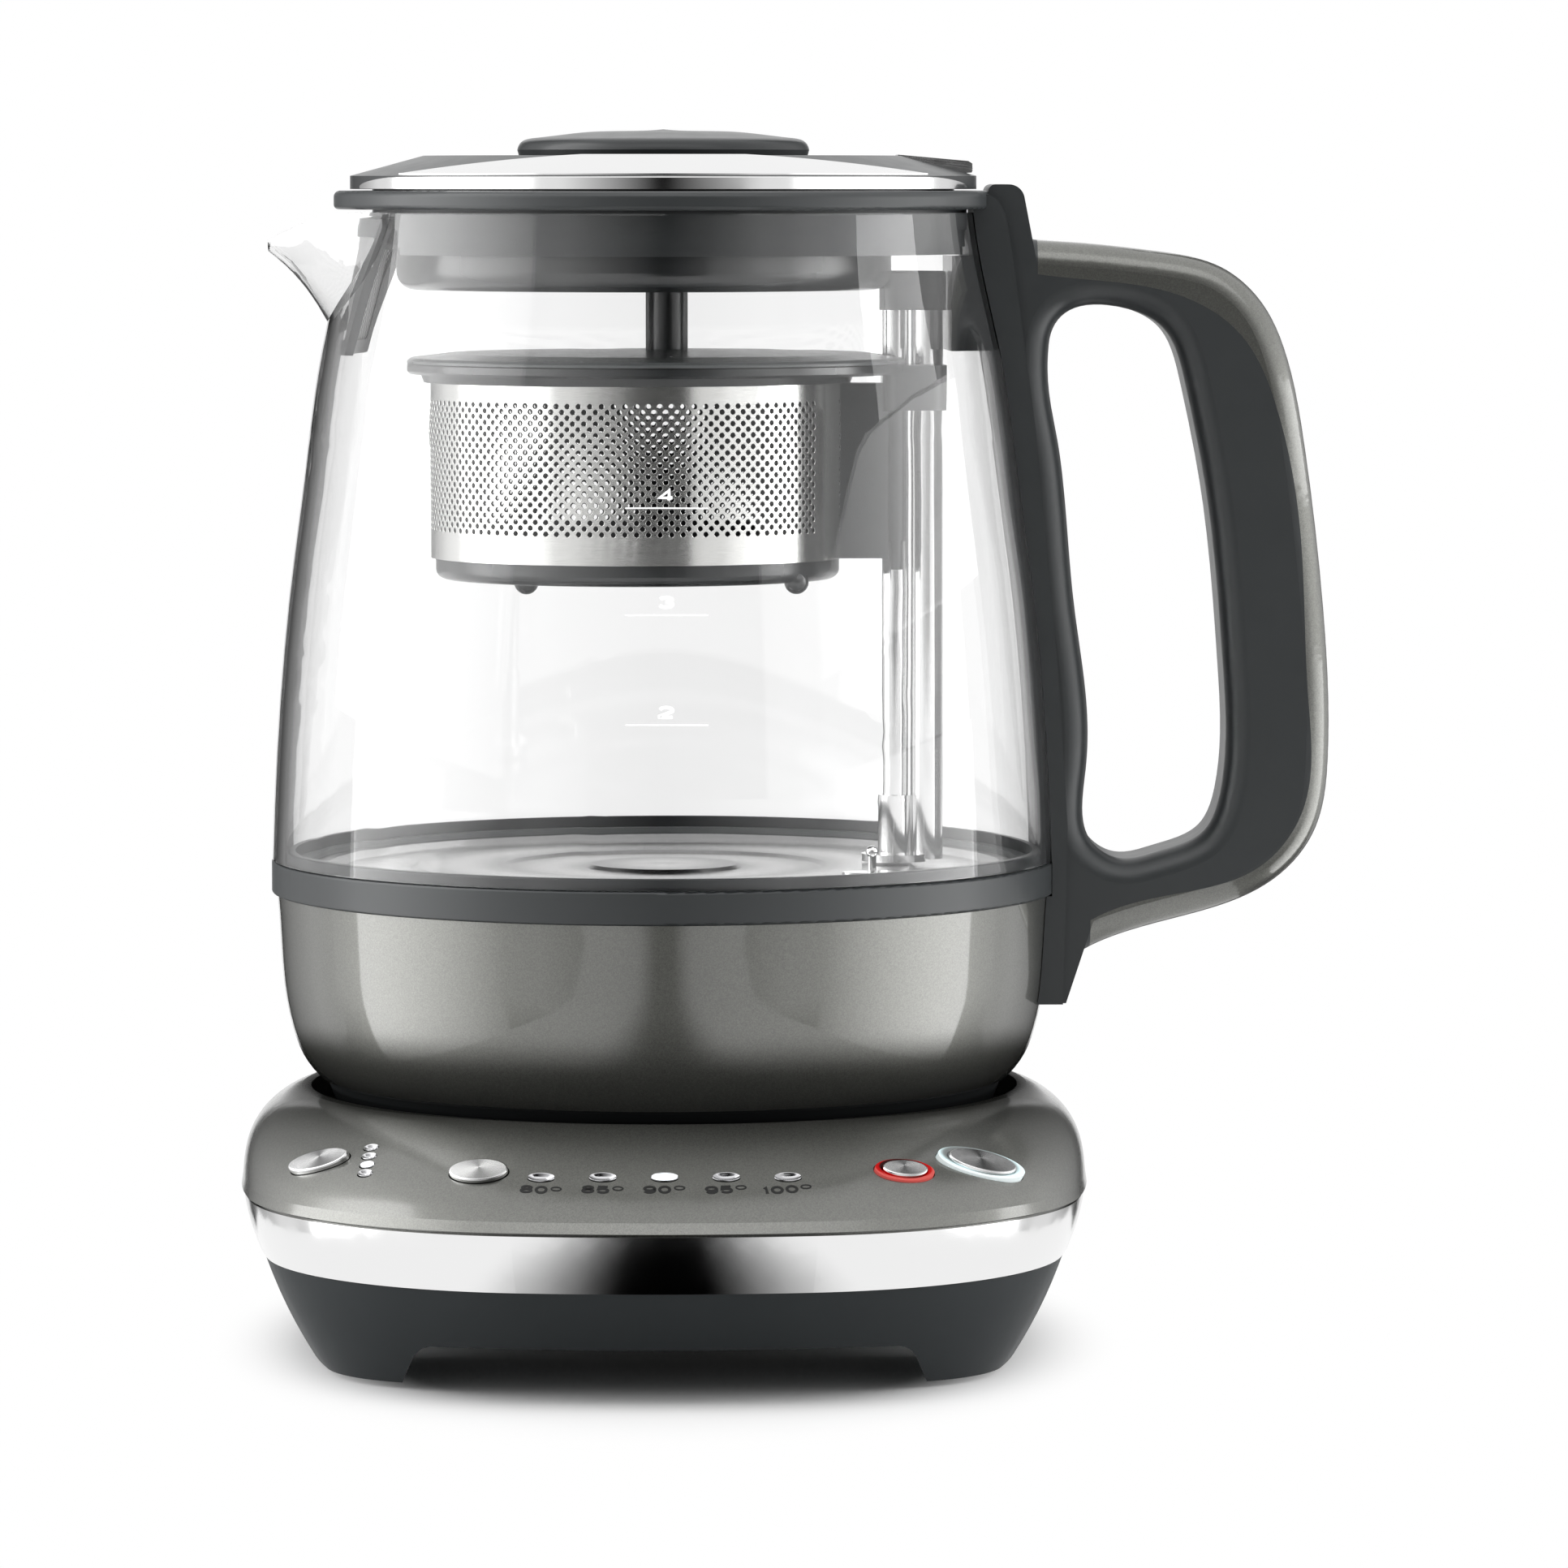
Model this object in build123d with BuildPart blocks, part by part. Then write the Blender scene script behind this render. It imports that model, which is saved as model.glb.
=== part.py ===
from build123d import *
import os

# An automatic tea maker: a glass jug with a lift-out brew basket, on a heated
# 360-degree base.  Millimetres.  The machine is drawn about the jug's own axis, with
# the floor at z = 0, the handle towards +X, the pouring lip towards -X and the
# controls towards -Y.  At the end it is moved so that the part's origin is on the
# floor under the middle of its box.

# ------------------------------------------------------------------ driving sizes
FIT = 0.2                   # gap between pieces that move on each other
TRAY_BOTTOM = 9.0           # underside between the feet
BAND_BOTTOM = 20.4
BAND_TOP = 31.0
DECK_CREASE = 33.5          # where the sloping deck breaks into the narrow lip over the band
SEAT = 44.0                 # where the jug stands
RIM_TOP = 48.9              # rim of the round seat
SEAT_RADIUS = 67.5
BASE_HALF_WIDTH = 80.4
FRONT_ARC = 170.0
SIDE_ARC = 200.0
SIDE_ARC_Y = -5.0
REAR_ARC = 190.0
FRONT_CORNER = 60.0
REAR_CORNER = 30.0
RIM_ARC = 74.0              # arcs and corners of the nearly round outline at the seat's rim
RIM_CORNER = 60.0

JUG_BOTTOM = SEAT + 0.3
COLLAR_BOTTOM = 86.0
COLLAR_TOP = 92.2
GLASS_BOTTOM = 92.4
GLASS_TOP = 215.0
GLASS_WALL = 2.3
PLATE_TOP = 91.0
RING_BOTTOM = 215.6
RING_TOP = 219.1
RING_RADIUS = 62.5
LID_BOTTOM = 219.4
LID_RADIUS = 59.4
LID_FLAT_RADIUS = 45.5
LID_EDGE_TOP = 221.9
LID_FLAT = 225.7
KNOB_RADIUS = 27.7
KNOB_TOP = 230.7

RISER_X, RISER_RADIUS = 44.2, 2.55
RETURN_X, RETURN_RADIUS = 50.2, 3.1
TUBE_Y = 1.5
TUBE_WALL = 0.5
BASKET_X = -5.0             # axis of the strainer
STRAINER_RADIUS = 39.4
STRAINER_TOP = 182.8
STRAINER_BOTTOM = 149.6
FRAME_X = -1.5              # axis of the basket's rim and of the basket lid
FRAME_RADIUS = 47.3
FRAME_TOP = 186.2

# Outside of the glass body, up from the collar: (radius, height).
GLASS_OUTSIDE = [
    (74.7, GLASS_BOTTOM), (73.7, 115), (71.0, 145), (68.2, 166), (65.3, 187), (62.2, 201.5),
    (60.0, GLASS_TOP),
]
# Outside of the painted housing under the glass, down from the collar.
HOUSING_OUTSIDE = [
    (73.8, COLLAR_BOTTOM - 0.1), (72.9, 72), (71.2, 61), (68.6, 54.4), (65.6, 50.9),
]
HOUSING_INSIDE = [
    (71.8, COLLAR_BOTTOM - 0.1), (70.9, 72.2), (69.2, 61.6), (66.9, 55.8), (64.4, 52.8),
]
# Sections of the pouring lip, outwards: (x, half width, top, bottom).
LIP_SECTIONS = [
    (-50, 31.0, 215.0, 172.0), (-58, 23.5, 215.0, 183.0), (-64, 15.5, 214.3, 194.5),
    (-69, 9.6, 212.8, 202.0), (-73, 5.4, 210.9, 206.0), (-74.9, 3.4, 209.8, 207.6),
]
# Top of the handle over the seam; its two corners are rounded.
HANDLE_TOP = [(61.2, 220.3), (67.6, 220.3), (69.6, 209.9)]
# Edge of the handle away from the jug, from its upper root round to its lower one.
HANDLE_OUTSIDE = [
    HANDLE_TOP[-1], (80, 209.2), (92.8, 207.8), (105.7, 204.6), (113.9, 197), (117.6, 189), (121.3, 172),
    (125.2, 139.5), (126.2, 112), (123.3, 97), (116.4, 88.8), (98.2, 81.3), (79.5, 74.9),
]
# Edge of the opening for the fingers.
HANDLE_OPENING = [
    (72.9, 190), (76.6, 196.4), (86, 197.2), (94.5, 193.2), (98.7, 182.9), (103, 161), (106.2, 128),
    (105.9, 106), (102.6, 97.7), (94, 93.8), (86, 92.6), (81.5, 95.4), (80.2, 110), (77.8, 141),
    (74.6, 172),
]
# Line where the bright inlay of the handle ends.
INLAY_EDGE = [
    (70.6, 203.4), (80.9, 202.3), (98, 199.2), (108.8, 192.2), (115.8, 178.3), (120.4, 155),
    (122, 124), (121, 101.5), (113.5, 91.5), (93.3, 85.3), (80.9, 81),
]
# Seam between the spine that hugs the glass and the handle moulding, upwards.
SEAM = [
    (75.6, 65.2), (76.4, 99), (74.4, 130), (70.2, 174), (65.9, 206), (64.4, 214.7), (63.0, 217.4),
    (61.2, 218.4),
]


# ------------------------------------------------------------------ shared operations
def upright_axis(x):
    return Axis((x, 0, 0), (0, 0, 1))


def turn(points, x=0.0, mode=Mode.ADD, rounds=()):
    """Turn a closed profile of (radius, height) about the upright axis at x.

    Its sides are straight, and rounds lists the corners to round as (index in points, radius).
    """
    with BuildSketch(Plane((x, 0, 0), x_dir=(1, 0, 0), z_dir=(0, -1, 0))) as profile:
        with BuildLine():
            Polyline(*points, close=True)
        make_face()
        for index, radius in rounds:
            fillet(profile.vertices().sort_by_distance(Vector(*points[index]))[0], radius)
    revolve(profile.sketch, axis=upright_axis(x), mode=mode)


def turn_curve(outside, inside, mode=Mode.ADD):
    """Turn the wall between two curves of (radius, height), each from its top down or up."""
    with BuildSketch(Plane.XZ) as profile:
        with BuildLine():
            Spline(*outside)
            Line(outside[-1], inside[-1])
            if len(inside) > 2:
                Spline(*inside)
            else:
                Line(*inside)
            Line(inside[0], outside[0])
        make_face()
    revolve(profile.sketch, axis=Axis.Z, mode=mode)


def slab(points, half_width, y=0.0, mode=Mode.ADD):
    """Extrude a closed straight-sided (x, z) outline both ways from the plane at y."""
    with BuildSketch(Plane.XZ.offset(-y)) as outline:
        with BuildLine():
            Polyline(*points, close=True)
        make_face()
    extrude(outline.sketch, amount=half_width, both=True, mode=mode)


def disc(radius, bottom, top, x=0.0, y=0.0, mode=Mode.ADD):
    """Upright round bar between two heights."""
    with BuildSketch(Plane.XY.offset(bottom)) as outline:
        with Locations((x, y)):
            Circle(radius)
    extrude(outline.sketch, amount=top - bottom, mode=mode)


def block(x_range, y_range, z_range, mode=Mode.ADD):
    """Box between two limits on each axis."""
    limits = (x_range, y_range, z_range)
    with Locations(tuple((low + high) / 2 for low, high in limits)):
        Box(*(high - low for low, high in limits), mode=mode)


def between(start, end, share):
    return start + (end - start) * share


def grown(points, amount):
    """The same curve of (radius, height) with its radii changed by an amount."""
    return [(radius + amount, height) for radius, height in points]


# ------------------------------------------------------------------ base
def base_plan(height, inset, front, rear, corner=FRONT_CORNER, roundness=0.0):
    """Outline of the base at one height: four shallow arcs with round corners.

    It is drawn in at the sides by inset, and roundness turns it into the seat's nearly round rim.
    """
    half_width = BASE_HALF_WIDTH - inset
    front_arc = between(FRONT_ARC, RIM_ARC, roundness)
    side_arc = between(SIDE_ARC, RIM_ARC, roundness)
    rear_arc = between(REAR_ARC, RIM_ARC, roundness)
    side_arc_y = between(SIDE_ARC_Y, 0, roundness)
    with BuildSketch(Plane.XY.offset(height)) as plan:
        with Locations((0, front + front_arc)):
            Circle(front_arc)
        with Locations((0, rear - rear_arc)):
            Circle(rear_arc, mode=Mode.INTERSECT)
        for side in (-1, 1):
            with Locations((side * (half_width - side_arc), side_arc_y)):
                Circle(side_arc, mode=Mode.INTERSECT)
        fillet(plan.vertices().group_by(Axis.Y)[0], between(corner, RIM_CORNER, roundness))
        fillet(plan.vertices().group_by(Axis.Y)[-1], between(REAR_CORNER - inset / 2, RIM_CORNER, roundness))
    return plan.sketch


def base_body(levels, mode=Mode.ADD):
    """Loft the base's outline through levels of (height, inset, front, rear, corner, roundness)."""
    loft([base_plan(*level) for level in levels], mode=mode)


FOOT_PADS = [(-54, -43), (54, -43), (-54, 38), (54, 38)]
BASE_SCREWS = [(-57, -17), (57, -17), (-57, 16), (57, 16)]
GLAND_HEIGHT = 14.2
GLAND_SLEEVE = 4.3
GLAND_FLANGE = 1.6
CORD_HOLE = 3.4
ARCH_ROUND = 4.0            # how softly the feet run into the raised underside

with BuildPart() as base_tray:
    base_body([
        (BAND_BOTTOM, 3.8, -87.4, 72.4, 56), (13.5, 6.4, -83.2, 70.0, 44), (1.2, 12.9, -73.6, 62.4, 24),
    ])
    base_body([
        (BAND_BOTTOM + 1, 5.7, -86.0, 70.7, 54), (15.5, 7.6, -82.2, 68.6, 45), (11, 9.6, -79.0, 66.2, 38),
    ], mode=Mode.SUBTRACT)
    # the underside is raised between the four corner feet
    for plane, foot_gap in ((Plane.XZ, 49), (Plane.YZ, 28)):
        with BuildSketch(plane) as arch:
            with BuildLine():
                Polyline((-foot_gap, -1), (4 - foot_gap, TRAY_BOTTOM), (foot_gap - 4, TRAY_BOTTOM),
                         (foot_gap, -1), close=True)
            make_face()
            fillet(arch.vertices().group_by(Axis.Y)[-1], ARCH_ROUND)
        extrude(arch.sketch, amount=120, both=True, mode=Mode.SUBTRACT)
    for x, y in BASE_SCREWS:
        disc(3.4, TRAY_BOTTOM - 1, 10.0, x, y, mode=Mode.SUBTRACT)
        disc(1.6, 9, 12, x, y, mode=Mode.SUBTRACT)
    with BuildSketch(Plane.XZ.offset(-60)) as gland_hole:
        with Locations((0, GLAND_HEIGHT)):
            Circle(GLAND_SLEEVE + 0.1)
    extrude(gland_hole.sketch, amount=-20, mode=Mode.SUBTRACT)

with BuildPart() as foot_pads:
    with BuildSketch(Plane.XY) as pads:
        with Locations(*FOOT_PADS):
            SlotOverall(18, 8, rotation=90)
    extrude(pads.sketch, amount=1.2)
    fillet(foot_pads.edges().group_by(Axis.Z)[0], 0.4)

GLAND_START = 64.0
GLAND_REAR = 72.4           # front of the flange, against the tray's rear wall

with BuildPart() as base_band:
    base_body([(BAND_BOTTOM, 3.4, -88.0, 72.8, 57), (26, 1.4, -89.5, 74.2, 59), (BAND_TOP, 0.4, -90.2, 74.7)])
    base_body([
        (BAND_BOTTOM, 5.0, -86.4, 71.2, 55.4), (26, 3.0, -87.9, 72.6, 57.4),
        (BAND_TOP, 2.0, -88.6, 73.1, 58.4),
    ], mode=Mode.SUBTRACT)

# The deck before anything is cut out of it: a narrow lip over the band, then a slope that turns
# from the base's outline into the round rim of the seat.
DECK_LEVELS = [
    (DECK_CREASE, 0.3, -89.0, 74.8, 60, 0.0), (36, 0.5, -85.9, 74.5, 60, 0.06),
    (40.2, 1.4, -80.0, 73.4, 60, 0.25), (45.7, 5.3, -72.2, 71.0, 60, 0.7),
    (RIM_TOP, 11.1, -68.2, 68.4, 60, 1.0),
]
with BuildPart() as deck_blank:
    base_body([(BAND_TOP + 0.6, 0.0, -90.3, 75.0), DECK_LEVELS[0]])
    base_body(DECK_LEVELS)


def deck_place(x, y, turned=0):
    """Plane on the deck's upper surface at (x, y), facing out of it and turned about its normal."""
    hits = deck_blank.part.find_intersection_points(Axis((x, y, 100), (0, 0, -1)))
    point, normal = max(hits, key=lambda hit: hit[0].Z)
    if normal.Z < 0:
        normal = -normal
    across = Vector(1, 0, 0).rotate(Axis((0, 0, 0), normal), turned)
    return Plane(point, x_dir=across, z_dir=normal)


def oval_boss(place, half_sizes, low, high, mode=Mode.ADD):
    """Oval bar along a deck place's normal, between two heights over the deck."""
    with BuildSketch(place.offset(low)) as outline:
        Ellipse(*half_sizes)
    extrude(outline.sketch, amount=high - low, mode=mode)


# Buttons: (place, half sizes of the oval cap, half sizes of the lit ring round it or None)
BUTTONS = {
    "strength_button": (deck_place(-63.6, -56.3, -22), (6.8, 2.8), None),
    "temperature_button": (deck_place(-33.8, -74.7, -9.5), (5.5, 3.1), None),
    "keep_warm_button": (deck_place(43.8, -71.4, 15), (4.4, 2.25), (5.8, 3.1)),
    "start_button": (deck_place(58.2, -61.6, 15), (7.1, 3.1), (9.1, 4.0)),
}
STRENGTH_LAMPS = [
    deck_place(-54.0 - 0.3 * row, -59.6 - 2.5 * row + 0.085 * row ** 2, -27) for row in range(4)
]
TEMPERATURE_LAMPS = [
    deck_place(11.22 * row, -79.55 + 0.365 * row ** 2, 3.8 * row) for row in range(-2, 3)
]
STRENGTH_LAMP = (1.65, 0.95)
TEMPERATURE_LAMP = (2.55, 1.2)
PLUNGER_RADIUS = 1.4
BUTTON_TRAVEL = 0.8
BOARD_TOP = 22.6
SWITCH_TOP = 26.5


def widened(half_sizes, amount):
    return tuple(size + amount for size in half_sizes)

with BuildPart() as deck_panel:
    add(deck_blank.part)
    base_body([(BAND_BOTTOM, 5.1, -86.3, 71.1, 55.3), (26, 3.1, -87.8, 72.5, 57.3),
               (BAND_TOP + 0.7, 2.1, -88.5, 73.0, 58.3)])
    base_body([(BAND_BOTTOM - 0.2, 7.1, -84.3, 69.1, 53.3), (30, 4.6, -86.2, 70.8, 56),
               (34.2, 4.2, -84.0, 71.2, 56, 0.05), (37.6, 4.4, -79.4, 70.8, 57, 0.2),
               (SEAT - 2.2, 6.6, -73.4, 69.0, 58, 0.55)], mode=Mode.SUBTRACT)
    for x, y in BASE_SCREWS:
        disc(4.0, 11.1, SEAT - 1, x, y)
        disc(1.5, 11, 26, x, y, mode=Mode.SUBTRACT)
    disc(SEAT_RADIUS, SEAT, RIM_TOP + 5, mode=Mode.SUBTRACT)
    disc(16.1, SEAT - 5, SEAT + 1, mode=Mode.SUBTRACT)
    for place, cap_size, ring_size in BUTTONS.values():
        oval_boss(place, widened(ring_size or cap_size, FIT), -12, 6, mode=Mode.SUBTRACT)
    for place in STRENGTH_LAMPS:
        oval_boss(place, STRENGTH_LAMP, -6, 3, mode=Mode.SUBTRACT)
    for place in TEMPERATURE_LAMPS:
        oval_boss(place, TEMPERATURE_LAMP, -6, 3, mode=Mode.SUBTRACT)

with BuildPart() as strength_lamps:
    for place in STRENGTH_LAMPS:
        oval_boss(place, STRENGTH_LAMP, -5, 0.35)

with BuildPart() as temperature_lamps:
    for place in TEMPERATURE_LAMPS:
        oval_boss(place, TEMPERATURE_LAMP, -5, 0.4)


def halo(name):
    """Lit ring let into the deck round one button."""
    place, cap_size, ring_size = BUTTONS[name]
    with BuildPart() as lens:
        oval_boss(place, ring_size, -3.5, 0.3)
        oval_boss(place, widened(cap_size, FIT), -4, 1, mode=Mode.SUBTRACT)
    return lens


def plunger_end(place):
    """Middle of the ball under a button, where it presses on its switch."""
    height = SWITCH_TOP + PLUNGER_RADIUS + BUTTON_TRAVEL + 0.3
    reach = (place.origin.Z - height) / place.z_dir.Z
    return place.origin - place.z_dir * reach


def button(name):
    """Oval metal-capped button with the plunger under it."""
    place, cap_size, ring_size = BUTTONS[name]
    end = plunger_end(place)
    reach = (place.origin - end).length
    with BuildPart() as cap:
        oval_boss(place, cap_size, -2.6, 0.9)
        top = cap.faces().sort_by(Axis(place.origin, place.z_dir))[-1]
        fillet(top.edges(), 0.35)
        oval_boss(place, (PLUNGER_RADIUS, PLUNGER_RADIUS), -reach, -2.6)
        with Locations(end):
            Sphere(PLUNGER_RADIUS)
    return cap


keep_warm_halo = halo("keep_warm_button")
start_halo = halo("start_button")
strength_button = button("strength_button")
temperature_button = button("temperature_button")
keep_warm_button = button("keep_warm_button")
start_button = button("start_button")

with BuildPart() as tact_switches:
    for place, cap_size, ring_size in BUTTONS.values():
        end = plunger_end(place)
        block((end.X - 3, end.X + 3), (end.Y - 3, end.Y + 3), (BOARD_TOP, SWITCH_TOP - 0.9))
        disc(1.7, SWITCH_TOP - 0.9, SWITCH_TOP, end.X, end.Y)

with BuildPart() as control_board:
    extrude(base_plan(BOARD_TOP - 1.6, 9.0, -81.0, 60.0), amount=1.6)
    block((-90, 90), (-50, 90), (0, 40), mode=Mode.SUBTRACT)

with BuildPart() as power_board:
    block((-44, 44), (-30, 40), (13.4, 15.0))
    fillet(power_board.edges().filter_by(Axis.Z), 3)

with BuildPart() as power_relay:
    block((14, 34), (8, 32), (15.0, 31.0))
    fillet(power_relay.edges().filter_by(Axis.Z), 1)

with BuildPart() as base_screws:
    for x, y in BASE_SCREWS:
        disc(3.0, TRAY_BOTTOM + 0.1, 10.0, x, y)
        disc(1.5, 10.0, 24, x, y)

with BuildPart() as base_connector:
    turn([
        (0, 36), (19, 36), (19, SEAT - 2.3), (16, SEAT - 2.3), (16, SEAT + 3.3), (8, SEAT + 3.3),
        (8, 54), (5, 54), (5, 42), (1.6, 42), (1.6, 52), (0, 52),
    ])

with BuildPart() as cord_gland:
    with BuildSketch(Plane.XZ.offset(-GLAND_START)) as sleeve:
        with Locations((0, GLAND_HEIGHT)):
            Circle(GLAND_SLEEVE)
            Circle(CORD_HOLE, mode=Mode.SUBTRACT)
    extrude(sleeve.sketch, amount=GLAND_START - GLAND_REAR - GLAND_FLANGE)
    with BuildSketch(Plane.XZ.offset(-GLAND_REAR)) as flange:
        with Locations((0, GLAND_HEIGHT)):
            Circle(GLAND_SLEEVE + 1.6)
            Circle(CORD_HOLE, mode=Mode.SUBTRACT)
    extrude(flange.sketch, amount=-GLAND_FLANGE)

# ------------------------------------------------------------------ jug
with BuildPart() as jug_connector:
    turn([
        (0, 66), (19, 66), (19, SEAT + 3.8), (8.4, SEAT + 3.8), (8.4, 54.6), (4.6, 54.6),
        (4.6, 42.8), (2, 42.8), (2, 52.6), (0, 52.6),
    ])

with BuildPart() as jug_cover:
    turn([
        (19.4, 45.4), (19.4, 60), (21.4, 60), (21.4, 47.4), (60.4, 47.4), (62.4, 52.6), (64.2, 52.6),
        (64.4, 50.4), (62.8, 46.2), (60.6, 45.4), (58, 45.4), (57.6, JUG_BOTTOM), (55.4, JUG_BOTTOM),
        (55, 45.4),
    ])
    for spot in PolarLocations(42, 3, 30):
        disc(1.4, 45, 48, spot.position.X, spot.position.Y, mode=Mode.SUBTRACT)

with BuildPart() as jug_screws:
    for spot in PolarLocations(42, 3, 30):
        disc(2.8, 44.6, 45.4, spot.position.X, spot.position.Y)
        disc(1.2, 45.4, 56, spot.position.X, spot.position.Y)

with BuildPart() as jug_housing:
    turn_curve(HOUSING_OUTSIDE, HOUSING_INSIDE)

with BuildPart() as jug_collar:
    turn([
        (66, 86), (74.8, 86), (74.8, COLLAR_TOP), (71.9, COLLAR_TOP), (71.9, 94.3), (70.3, 94.3),
        (70.3, 89.4), (66, 89.4),
    ], rounds=[(1, 0.5), (2, 0.5), (4, 0.4)])

with BuildPart() as plate_seal:
    turn([
        (66.3, 89.4), (70.2, 89.4), (70.2, 92.2), (67.6, 92.2), (67.6, 91.2), (68.6, 91.2), (68.6, 90),
        (66.3, 90),
    ])

with BuildPart() as heating_plate:
    turn([
        (0, PLATE_TOP), (14, PLATE_TOP), (15, 90.4), (30, 90.4), (31, 90.9), (47, 90.9), (48.5, 90.2),
        (62, 90.2), (64.5, 91.2), (68.6, 91.2), (68.6, 90), (64.8, 90), (62.2, 89), (0, 89),
    ])
    for spot in PolarLocations(42, 3, 30):
        disc(2.6, 47.5, 89.5, spot.position.X, spot.position.Y)
        disc(1.2, 47, 57, spot.position.X, spot.position.Y, mode=Mode.SUBTRACT)

with BuildPart() as heating_element:
    with BuildLine() as element_path:
        CenterArc((0, 0, 85.9), 33, 20, 320)
    with BuildSketch(Plane(element_path.line @ 0, z_dir=element_path.line % 0)) as element_section:
        Circle(3)
    sweep(element_section.sketch, path=element_path.line)
    for end in (0, 1):
        foot = element_path.line @ end
        disc(1.8, 74, 86, foot.X, foot.Y)

with BuildPart() as thermostat:
    disc(13, 80, 88.9)
    block((-12, 12), (-9, 9), (68, 80))

with BuildPart() as temperature_probe:
    with BuildSketch(Plane.XY.offset(90.9)) as probe_plate:
        with Locations((38.7, -29.5)):
            SlotOverall(11, 6)
    extrude(probe_plate.sketch, amount=1.0)
    disc(0.8, 91.5, 95.6, 38.7, -29.5)
    with Locations((38.7, -29.5, 95.7)):
        Sphere(1.15)

def lip_section(x, half_width, top, bottom, rise):
    """Half-oval section across the pouring lip, open side up."""
    with BuildSketch(Plane.YZ.offset(x)) as section:
        with BuildLine():
            EllipticalCenterArc((0, top), half_width, top - bottom, start_angle=180, arc_size=180)
            Polyline((half_width, top), (half_width, top + rise), (-half_width, top + rise),
                     (-half_width, top))
        make_face()
    return section.sketch


LIP_WALL = 1.7
with BuildPart() as lip_blank:
    loft([lip_section(x, half, top - 0.6, bottom, 0.6) for x, half, top, bottom in LIP_SECTIONS])

with BuildPart() as lip_channel:
    loft([
        lip_section(x - (0.2 if x < -74 else 0), half - LIP_WALL, top - 0.6, bottom + min(LIP_WALL, 1.5), 6)
        for x, half, top, bottom in LIP_SECTIONS
    ])

with BuildPart() as jug_cavity:
    turn_curve(grown(GLASS_OUTSIDE, -GLASS_WALL), [(0, GLASS_BOTTOM), (0, GLASS_TOP)])
    disc(GLASS_OUTSIDE[0][0] - GLASS_WALL, GLASS_BOTTOM - 1, GLASS_BOTTOM)
    disc(GLASS_OUTSIDE[-1][0] - GLASS_WALL, GLASS_TOP, GLASS_TOP + 1)

with BuildPart() as glass_jug:
    turn_curve(GLASS_OUTSIDE, [(0, GLASS_BOTTOM), (0, GLASS_TOP)])
    add(lip_blank.part)
    add(jug_cavity.part, mode=Mode.SUBTRACT)
    add(lip_channel.part, mode=Mode.SUBTRACT)

# Everything that the handle has to stay outside of.
with BuildPart() as jug_envelope:
    turn_curve(grown(GLASS_OUTSIDE, 0.1), [(0, GLASS_BOTTOM), (0, GLASS_TOP)])
    turn_curve(grown(HOUSING_OUTSIDE, 0.1), [(0, COLLAR_BOTTOM - 0.1), (0, 45.9)])
    disc(74.9, COLLAR_BOTTOM - 0.2, GLASS_BOTTOM + 0.1)
    disc(60.1, GLASS_TOP, RING_TOP + 5)

with BuildPart() as handle_spine:
    slab([(50, SEAM[-1][1]), (50, SEAM[0][1])] + SEAM, 14.5)
    add(jug_envelope.part, mode=Mode.SUBTRACT)

# The whole handle moulding, later parted into the dark grip and its bright inlay.
with BuildPart() as handle_blank:
    with BuildSketch(Plane.XZ) as handle_outline:
        with BuildLine():
            Polyline(SEAM[-1], *HANDLE_TOP)
            Spline(*HANDLE_OUTSIDE)
            Polyline(HANDLE_OUTSIDE[-1], (76.3, SEAM[0][1]), *SEAM)
        make_face()
        for corner, radius in zip(HANDLE_TOP, (1.4, 3.0)):
            fillet(handle_outline.vertices().sort_by_distance(Vector(*corner))[0], radius)
        with BuildLine():
            Spline(*HANDLE_OPENING, periodic=True)
        make_face(mode=Mode.SUBTRACT)
    extrude(handle_outline.sketch, amount=12, both=True)
    side_edges = handle_blank.faces().filter_by(Axis.Y).edges().sort_by(SortBy.LENGTH)
    fillet(side_edges[-4:], 4.5)

with BuildPart() as rim_ring:
    turn([
        (55.8, RING_TOP), (RING_RADIUS, RING_TOP), (RING_RADIUS, RING_BOTTOM), (57.6, RING_BOTTOM),
        (57.6, 211.6), (57.2, 211.6), (57.2, 208.5), (56.8, 208.5), (56.8, 207), (55.8, 207),
    ], rounds=[(1, 1.2), (2, 0.9)])
    with BuildSketch(Plane.XY.offset(206)) as lip_gap:
        with BuildLine():
            Polyline((0, 0), (-70, 43.7), (-70, -43.7), close=True)
        make_face()
    extrude(lip_gap.sketch, amount=RING_BOTTOM - 206, mode=Mode.SUBTRACT)
    add(handle_spine.part, mode=Mode.SUBTRACT)
    add(handle_blank.part, mode=Mode.SUBTRACT)

with BuildPart() as filter_blank:
    turn([(56.0, 213.8), (57.3, 213.8), (61.4, 188), (60.1, 188)])
    with BuildSketch(Plane.YZ.offset(-80)) as filter_outline:
        with BuildLine():
            Polyline((-27.5, 214), (27.5, 214), (17, 187.5), (-17, 187.5), close=True)
        make_face()
        fillet(filter_outline.vertices(), 2)
    extrude(filter_outline.sketch, amount=60, mode=Mode.INTERSECT)

with BuildPart() as filter_window:
    with BuildSketch(Plane.YZ.offset(-80)) as window_outline:
        with BuildLine():
            Polyline((-23.5, 210.5), (23.5, 210.5), (14.6, 190.8), (-14.6, 190.8), close=True)
        make_face()
        fillet(window_outline.vertices(), 2)
    extrude(window_outline.sketch, amount=60)

with BuildPart() as spout_filter_frame:
    add(filter_blank.part)
    add(filter_window.part, mode=Mode.SUBTRACT)

with BuildPart() as spout_filter_mesh:
    turn([(56.4, 213.8), (56.8, 213.8), (60.9, 188), (60.5, 188)])
    add(filter_window.part, mode=Mode.INTERSECT)

with BuildPart() as rim_clamp:
    block((54.0, 66), (-12, 12), (188.8, 206.8))
    add(jug_cavity.part, mode=Mode.INTERSECT)

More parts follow.
